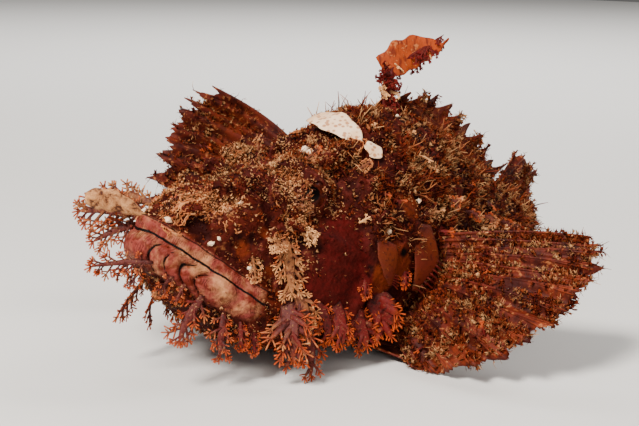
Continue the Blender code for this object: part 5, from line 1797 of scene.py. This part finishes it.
class OBJECT_OT_fish_back_spines(bpy.types.Operator):
    """The spiny fin of the back with its raised flag"""

    bl_idname = "object.fish_back_spines"
    bl_label = "Back spines and flag"

    def execute(self, context):
        rays = middle_rays(0.09, 0.183, SPINE_LENGTHS, SPINE_LEANS, TOP)
        made = fin("dorsal_fin_spiny_web", rays, 0.3, 0.0011, forked=False, seed=11)
        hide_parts("dorsal_fin_spiny")
        stalk, blade = Heap(), Heap()
        foot, top, way = at(*FLAG_FOOT), at(*FLAG_TOP), Vector(FLAG_WAY).normalized()
        path = [np.array(foot.lerp(top, t)) for t in np.linspace(0, 1, 7)]
        path = np.array(path + [np.array(top + way * d) for d in (0.004, 0.01, 0.017, 0.024, 0.03)])
        size = np.interp(np.linspace(0, 1, len(path)), (0, 0.5, 1), (0.0018, 0.0015, 0.0006))
        stalk.bend(STEM, path, np.array(FLAG_FACE), size, size, (0.0, 0.2), None, 0.0)
        chance = random.Random(5)
        for k in range(STALK_TUFTS):
            t = chance.uniform(0.1, 0.98)
            low = 1.0 if t > 0.55 else 0.0
            aim = (chance.uniform(-1, 1), chance.uniform(-0.2, 1), chance.uniform(-1, 1) - low)
            aim = Vector(aim).normalized()
            side = Vector(FLAG_FACE) - aim * aim.dot(Vector(FLAG_FACE))
            if side.length > 0.25:
                length = chance.uniform(0.004, 0.0078)
                pale = chance.choice((0.0, 0.0, 0.05, 0.1, 0.8))
                root, seed = between(path, t), f"stalk{k}"
                tassel(stalk, root, aim, side, length, length * 0.8, 2, 0.28, pale, seed, 0.2)
        leaf = blade_line(top - Vector((0, 0, 0.003)), way, 0.033, Vector((0, 0.0012, 0)))
        leaf = leaf + np.array(FLAG_FACE) * np.sin(np.linspace(0, 9, BLADE_STEPS))[:, None] * 0.0008
        high = 0.0125 * leaf_width(3.5, 0.14, 0.22)
        up_side = np.cross(np.array(way), np.array(FLAG_FACE))
        blade.bend(PLATE, leaf, -up_side, high, 0.0004, wide_left=0.003 * leaf_width(5, 0.3, 0.04))
        stalk.pose().make("flag_stalk", "stalk", "fin")
        blade.pose().make("flag_leaf", "flag", "fin")
        return {"FINISHED"}


# The coat.

def flat_flap(lobes, seed):
    """A small lobed flap of length 1 along +X, thickest in its middle."""
    dice = random.Random(seed)
    form = bmesh.new()
    bmesh.ops.create_cone(
        form, cap_ends=True, cap_tris=True, segments=2 * lobes + 2, radius1=1.0, radius2=0.0, depth=0.2
    )
    rim = [v for v in form.verts if v.co.xy.length > 0.5]
    for vertex in form.verts:
        if vertex not in rim:
            vertex.co = Vector((0.4, 0.0, 0.07)) if vertex.co.z > 0 else Vector((0.0, 0.0, 0.0))
    for k, vertex in enumerate(rim):
        angle = math.atan2(vertex.co.y, vertex.co.x)
        lobe = 1.0 if k % 2 else dice.uniform(0.45, 0.62)
        far = 0.5 * lobe * dice.uniform(0.8, 1.15)
        x = 0.5 + far * math.cos(angle)
        vertex.co = Vector((x, far * math.sin(angle) * (0.25 + 0.75 * x), 0.0))
    for vertex in form.verts:
        vertex.co.z += 0.32 * vertex.co.x**2 + 0.25 * abs(vertex.co.y)
    bmesh.ops.recalc_face_normals(form, faces=form.faces)
    return as_arrays(form)


def joined(*forms):
    """Several forms as one."""
    points, faces, count = [], [], 0
    for form in forms:
        points.append(form[0])
        faces.append(form[1] + count)
        count += len(form[0])
    return np.concatenate(points), np.concatenate(faces)


def curved(form, radius, bend, start=(0, 0, 0), turn=0.0, length=1.0):
    """A rod made thin, bowed sideways and up, and turned about its root."""
    points, faces = form
    x = points[:, 0] * length
    y = points[:, 1] * radius + bend[0] * x**2 + 0.07 * np.sin(7 * x + 9 * bend[0])
    z = points[:, 2] * radius + bend[1] * x**2
    c, s = math.cos(turn), math.sin(turn)
    return np.stack((x * c - y * s, x * s + y * c, z), 1) + np.array(start), faces


def thread_forms():
    """A few single and forked threads of length 1."""
    dice = random.Random(3)
    forms = []
    for k in range(6):
        bend = (dice.uniform(-0.6, 0.6), dice.uniform(-0.35, 0.45))
        parts = [curved(HAIR, 0.04, bend)]
        for _ in range((0, 1, 1, 2, 0, 1)[k]):
            x = dice.uniform(0.3, 0.7)
            start = (x, bend[0] * x * x, bend[1] * x * x)
            turn = dice.choice((-1, 1)) * dice.uniform(0.5, 1.0)
            parts.append(curved(HAIR, 0.032, (0.2, 0.1), start, turn, 0.42))
        forms.append(joined(*parts))
    return forms


def sprig(seed):
    """A small tassel of length 1 along +X."""
    heap, size = Heap(), 0.006
    tassel(heap, np.zeros(3), Vector((1, 0, 0)), Vector((0, 0, 1)), size, size * 0.8, 2, 0.3, 0.5, seed, 0.0)
    return np.concatenate(heap.points) / size, np.concatenate(heap.faces)


def grain(level=1, seed=0.0):
    """A small rough grain about 1 across."""
    form = bmesh.new()
    bmesh.ops.create_icosphere(form, subdivisions=level, radius=0.5)
    for vertex in form.verts:
        vertex.co *= 0.8 + 0.7 * noise.noise(vertex.co * 3.1 + Vector((seed, 0, 0)))
    return as_arrays(form)


def curl_forms():
    """Short curled ridges about 1 across."""
    dice = random.Random(8)
    forms = []
    for _ in range(4):
        turns = np.linspace(0, math.radians(dice.uniform(110, 270)), 10)
        radius = 0.42 * np.linspace(1.0, dice.uniform(0.5, 1.0), 10)
        line = np.stack((radius * np.cos(turns) + 0.45, radius * np.sin(turns), 0.04 * np.sin(3 * turns)), 1)
        heap = Heap()
        heap.bend(CURL, line, (0, 0, 1), 0.13, 0.075)
        forms.append((heap.points[0], heap.faces[0]))
    return forms


def clear_of(points, places, radius):
    """0 within a radius of any of some places, rising to 1 at a third more."""
    gaps = np.min([np.linalg.norm(points - np.array(p), axis=1) for p in places], axis=0)
    return np.clip((gaps / radius - 1) * 3, 0, 1)


def clumps(points, size, seed, low=0.4, high=0.62):
    """A 0 to 1 pattern of clumps and bare patches at places of the straight fish."""
    values = np.array([noise.noise(Vector(p) / size + Vector((seed, 0, 0))) for p in points]) * 0.5 + 0.5
    return np.clip((values - low) / (high - low), 0.03, 1)


def strew(heap, forms, host, count, weight, size, lift, turn, dice, upright=0.0, paleness=-0.1):
    """Small forms on random spots of a host. Size holds a size for each of its vertices; lift and turn
    are ranges in degrees, away from the skin and round its normal."""
    places, normals, straight, zones, sizes = host.spots(count, weight, size, dice)
    along = tailward(straight)
    along = unit(along - normals * np.sum(along * normals, 1, keepdims=True))
    side = np.cross(normals, along)
    angle = np.radians(dice.uniform(-turn, turn, count))[:, None]
    flat = along * np.cos(angle) + side * np.sin(angle)
    rise = np.radians(dice.uniform(*lift, count))[:, None]
    ahead = unit(flat * np.cos(rise) + normals * np.sin(rise) + np.array((0, 0, upright)))
    across = unit(np.cross(normals, ahead) + 0.4 * dice.uniform(-1, 1, (count, 3)))
    across = unit(across - ahead * np.sum(across * ahead, 1, keepdims=True))
    over = np.cross(ahead, across)
    axes = np.stack((ahead, across, over), 1)
    sizes = sizes * (0.35 + 0.65 * dice.random(count) ** 1.6)
    mottle = clumps(straight, 0.0045, 21, 0.35, 0.68)
    shades = np.clip(0.85 * mottle + 0.55 * dice.random(count) + paleness, 0, 1)
    patches = patch_of(straight)
    roots = places - normals * 0.0002
    kind = dice.integers(0, len(forms), count)
    for k, form in enumerate(forms):
        mine = kind == k
        tips = np.clip(form[0][:, 0], 0, 1)
        heap.many(form, tips, roots[mine], axes[mine], sizes[mine], zones[mine], shades[mine], patches[mine])


def make_coat(name, forms, look, host, count, seed, slot="body_skin", **options):
    """A coat piece, or several where one would have too many triangles."""
    faces = np.mean([len(form[1]) for form in forms])
    parts = math.ceil(count * faces / COAT_LIMIT)
    dice = np.random.default_rng(seed)
    for k in range(parts):
        heap = Heap()
        strew(heap, forms, host, count // parts, dice=dice, **options)
        heap.make(f"{name}_{k + 1}", look, slot, coat=True)


# The palest crust: places on the straight fish, with their radii.
BRIGHT = (
    ((0.0468, 0.0235, 0.022), 0.0038), ((0.0496, 0.0272, 0.0171), 0.003), ((0.0525, 0.0268, 0.0115), 0.0026),
    ((0.0477, 0.0143, 0.029), 0.0045), ((0.0464, 0.0212, 0.0252), 0.0036), ((0.0059, 0.006, 0.0064), 0.0026),
    ((0.02, 0.013, 0.012), 0.004), ((0.024, 0.016, 0.01), 0.0034), ((0.07, 0.012, 0.033), 0.004),
    ((0.0305, 0.0155, 0.013), 0.0026), ((0.069, 0.029, 0.015), 0.003), ((0.061, 0.029, 0.02), 0.0022),
    ((0.0886, 0.037, 0.0085), 0.0026), ((0.118, 0.033, 0.016), 0.003), ((0.042, 0.025, 0.003), 0.0022),
)
# Each fin's share of the coat.
FIN_COATS = (
    ("pectoral_fin_left", 0.42), ("pectoral_fin_right", 0.25), ("dorsal_fin_spiny", 0.1),
    ("tail_fin", 0.05), ("dorsal_fin_soft", 0.05), ("anal_fin", 0.04),
)
FIN_CURLS = 1200


class OBJECT_OT_fish_coat(bpy.types.Operator):
    """Threads, flaps and crust grains over the skin"""

    bl_idname = "object.fish_coat"
    bl_label = "Coat"

    def execute(self, context):
        sizes = context.scene.fish_sizes
        host = Host(bpy.data.objects["skin"])
        lip, pale, dark, rust, plum, _ = host.zones.T
        straight = host.straight
        back, up = -straight[:, 0], straight[:, 2]
        sleek = np.maximum.reduce((lip, rust, plum))
        bare = np.clip(1 - 1.3 * sleek, 0.015, 1) * (1 - 0.7 * np.clip(dark, 0, 1))
        gaze = np.array(EYE_GAZE) * 0.008
        eyes = [np.array(beside(EYE_CENTRE, s)) + gaze * (1, s, 1) for s in (1, -1)]
        bare *= clear_of(straight, eyes, 0.007)
        leaves = [at(*place) for place in LEAF_BENDS + BLOB_BENDS]
        bare *= clear_of(straight, [*leaves, *(a.lerp(b, 0.5) for a, b in zip(leaves, leaves[1:]))], 0.0042)
        upper = np.clip(0.35 + up / 0.03, 0.2, 1.0)
        rear = np.clip((back - 0.035) / 0.05, 0, 1)
        far = np.clip((back - 0.015) / 0.075, 0, 1)
        thick = clumps(straight, 0.011, 3)
        shaggy = bare * upper * (0.25 + rear) * thick
        even = np.ones(len(back))
        threads, flaps = thread_forms(), [flat_flap(lobes, lobes + 2) for lobes in (3, 4, 5)]
        make_coat("threads", threads, "coat", host, sizes.thread_count, 1, weight=shaggy,
                  size=sizes.thread_length * (0.25 + 0.45 * far), lift=(15, 80), turn=110, upright=0.15)
        make_coat("wisps", threads, "coat", host, sizes.thread_count // 9, 2,
                  weight=bare * upper * rear * thick**2, size=sizes.thread_length * 1.6 * (0.3 + 0.7 * far),
                  lift=(35, 88), turn=90, upright=0.5)
        make_coat("flaps", flaps, "coat", host, sizes.flap_count, 3,
                  weight=bare * upper * (0.5 + 0.5 * thick),
                  size=sizes.flap_length * (0.45 + 0.55 * far), lift=(25, 85), turn=120)
        sprigs = [sprig(seed) for seed in range(3)]
        make_coat("sprigs", sprigs, "tassel", host, sizes.sprig_count, 4, weight=shaggy,
                  size=0.007 * (0.45 + 0.55 * far), lift=(20, 75), turn=80)
        crusty = np.clip(pale * (1 - lip), 0, 1) ** 1.5 * clumps(straight, 0.004, 9, 0.35, 0.6)
        make_coat("crust", [grain()], "crust", host, sizes.crust_count, 5, weight=crusty + 0.002,
                  size=even * 0.001, lift=(0, 90), turn=180)
        make_coat("flakes", flaps, "crust", host, sizes.crust_count, 6, weight=crusty + 0.008 * bare * upper,
                  size=even * 0.0021, lift=(25, 85), turn=180)
        left = folded(straight)
        near = [np.linalg.norm(left - np.array(at(*place)), axis=1) / radius for place, radius in BRIGHT]
        make_coat("bright_crust", [grain(), *curl_forms()], "crust", host, sizes.curl_count // 2, 9,
                  weight=np.exp(-np.min(near, axis=0) ** 2), size=even * 0.0022,
                  lift=(5, 80), turn=180, paleness=0.45)
        face = np.clip((0.088 - back) / 0.02, 0, 1) * bare
        make_coat("curls", curl_forms(), "crust", host, sizes.curl_count, 7,
                  weight=crusty + 0.035 * face * thick,
                  size=even * 0.0021, lift=(-5, 25), turn=180)
        make_coat("face_flaps", flaps, "coat", host, sizes.flap_count // 2, 8,
                  weight=face * (0.3 + 0.7 * thick),
                  size=even * 0.0024, lift=(20, 85), turn=180, paleness=0.05)
        for k, (name, share) in enumerate(FIN_COATS):
            web = Host(bpy.data.objects[name + "_web"])
            even = np.ones(len(web.straight))
            patchy = clumps(web.straight, 0.01, 5, 0.35, 0.6)
            for ending, forms, look, many, seed, weight, size, lift, turn in (
                ("threads", threads, "coat", sizes.thread_count, 10,
                 patchy, sizes.thread_length * 0.75, (15, 80), 110),
                ("flaps", flaps, "coat", sizes.flap_count, 20, patchy, sizes.flap_length, (15, 75), 120),
                ("curls", curl_forms(), "crust", FIN_CURLS, 40, patchy**2, 0.0022, (-5, 40), 180),
                ("sprigs", sprigs, "tassel", sizes.sprig_count, 30, patchy, 0.006, (15, 70), 80),
            ):
                make_coat(f"{name}_{ending}", forms, look, web, int(share * many), seed + k, "fin",
                          weight=weight, size=even * size, lift=lift, turn=turn)
        return {"FINISHED"}


# The stage.

ROOM_COLOUR = (0.88, 0.85, 0.82, 1.0)
ROOM_STRENGTH = 0.15
FLOOR_HALF = 4.0
HEAD = (0.05, 0.0, 0.06)
# Lamps: name, place, target, size, watts and colour.
LAMPS = (
    ("key", (0.85, 0.25, 0.9), HEAD, 0.34, 34.0, (1.0, 0.94, 0.87)),
    ("fill", (0.5, 1.1, 0.35), HEAD, 0.8, 5.0, (1.0, 0.95, 0.92)),
    ("rim", (-0.7, 0.3, 0.9), HEAD, 0.5, 6.0, (1.0, 0.95, 0.9)),
    ("backdrop", (-1.0, -1.0, 1.8), (-2.2, -2.2, 0.0), 2.4, 100.0, (1.0, 0.98, 0.96)),
)


def area_light(name, place, target, size, power_watts, colour):
    """A soft light that faces a target."""
    data = bpy.data.lights.new(name, "AREA")
    data.shape = "DISK"
    data.size = size
    data.energy = power_watts
    data.color = colour
    light = bpy.data.objects.new(name, data)
    light.location = place
    light.rotation_euler = (Vector(target) - Vector(place)).to_track_quat("-Z", "Y").to_euler()
    bpy.context.scene.collection.objects.link(light)


def make_camera():
    """The camera at the photograph's viewing angle."""
    cos_h, sin_h = math.cos(CAMERA_HEIGHT), math.sin(CAMERA_HEIGHT)
    toward = Vector((math.cos(CAMERA_AZIMUTH) * cos_h, math.sin(CAMERA_AZIMUTH) * cos_h, sin_h))
    level = Vector((-math.sin(CAMERA_AZIMUTH), math.cos(CAMERA_AZIMUTH), 0))
    over = toward.cross(level)
    right = level * math.cos(CAMERA_ROLL) + over * math.sin(CAMERA_ROLL)
    top = over * math.cos(CAMERA_ROLL) - level * math.sin(CAMERA_ROLL)
    data = bpy.data.cameras.new("camera")
    data.angle = CAMERA_ANGLE
    data.clip_start, data.clip_end = CAMERA_CLIP
    camera = bpy.data.objects.new("camera", data)
    bpy.context.scene.collection.objects.link(camera)
    place = Vector(OFFSET) + Vector(CAMERA_TARGET) + toward * CAMERA_DISTANCE
    place += right * CAMERA_SHIFT[0] + top * CAMERA_SHIFT[1]
    camera.matrix_world = Matrix.Translation(place) @ Matrix((right, top, toward)).transposed().to_4x4()
    bpy.context.scene.camera = camera


class OBJECT_OT_fish_stage(bpy.types.Operator):
    """Pale floor, soft lights and camera"""

    bl_idname = "object.fish_stage"
    bl_label = "Stage"

    def execute(self, context):
        form = bmesh.new()
        bmesh.ops.create_grid(form, x_segments=8, y_segments=8, size=FLOOR_HALF)
        mesh = bpy.data.meshes.new("floor")
        form.to_mesh(mesh)
        form.free()
        mesh.materials.append(material("floor"))
        floor = bpy.data.objects.new("floor", mesh)
        context.scene.collection.objects.link(floor)
        world = bpy.data.worlds.new("soft_room")
        world.use_nodes = True
        room = world.node_tree.nodes["Background"].inputs
        room["Color"].default_value = ROOM_COLOUR
        room["Strength"].default_value = ROOM_STRENGTH
        context.scene.world = world
        for lamp in LAMPS:
            area_light(*lamp)
        make_camera()
        return {"FINISHED"}


OPERATORS = (
    OBJECT_OT_fish_stage,
    OBJECT_OT_fish_skin,
    OBJECT_OT_fish_eyes,
    OBJECT_OT_fish_fins,
    OBJECT_OT_fish_back_spines,
    OBJECT_OT_fish_tassels,
    OBJECT_OT_fish_lace,
    OBJECT_OT_fish_blades,
    OBJECT_OT_fish_coat,
)


class VIEW3D_PT_scorpionfish(bpy.types.Panel):
    """Sizes, colours and pieces of the fish"""

    bl_label = "Scorpionfish"
    bl_category = "Scorpionfish"
    bl_space_type = "VIEW_3D"
    bl_region_type = "UI"

    def draw(self, context):
        for group in (context.scene.fish_sizes, context.scene.fish_colours):
            for name in group.__annotations__:
                self.layout.prop(group, name)
        for operator in OPERATORS:
            self.layout.operator(operator.bl_idname)


CLASSES = (FishSizes, FishColours, *OPERATORS, VIEW3D_PT_scorpionfish)


def register():
    """Makes the classes known to Blender."""
    for cls in CLASSES:
        bpy.utils.register_class(cls)
    bpy.types.Scene.fish_sizes = PointerProperty(type=FishSizes)
    bpy.types.Scene.fish_colours = PointerProperty(type=FishColours)


def unregister():
    """Takes the classes back out."""
    del bpy.types.Scene.fish_colours
    del bpy.types.Scene.fish_sizes
    for cls in reversed(CLASSES):
        bpy.utils.unregister_class(cls)


def main():
    """Makes every piece."""
    register()
    for operator in OPERATORS:
        group, name = operator.bl_idname.split(".")
        getattr(getattr(bpy.ops, group), name)()


if __name__ == "__main__":
    main()
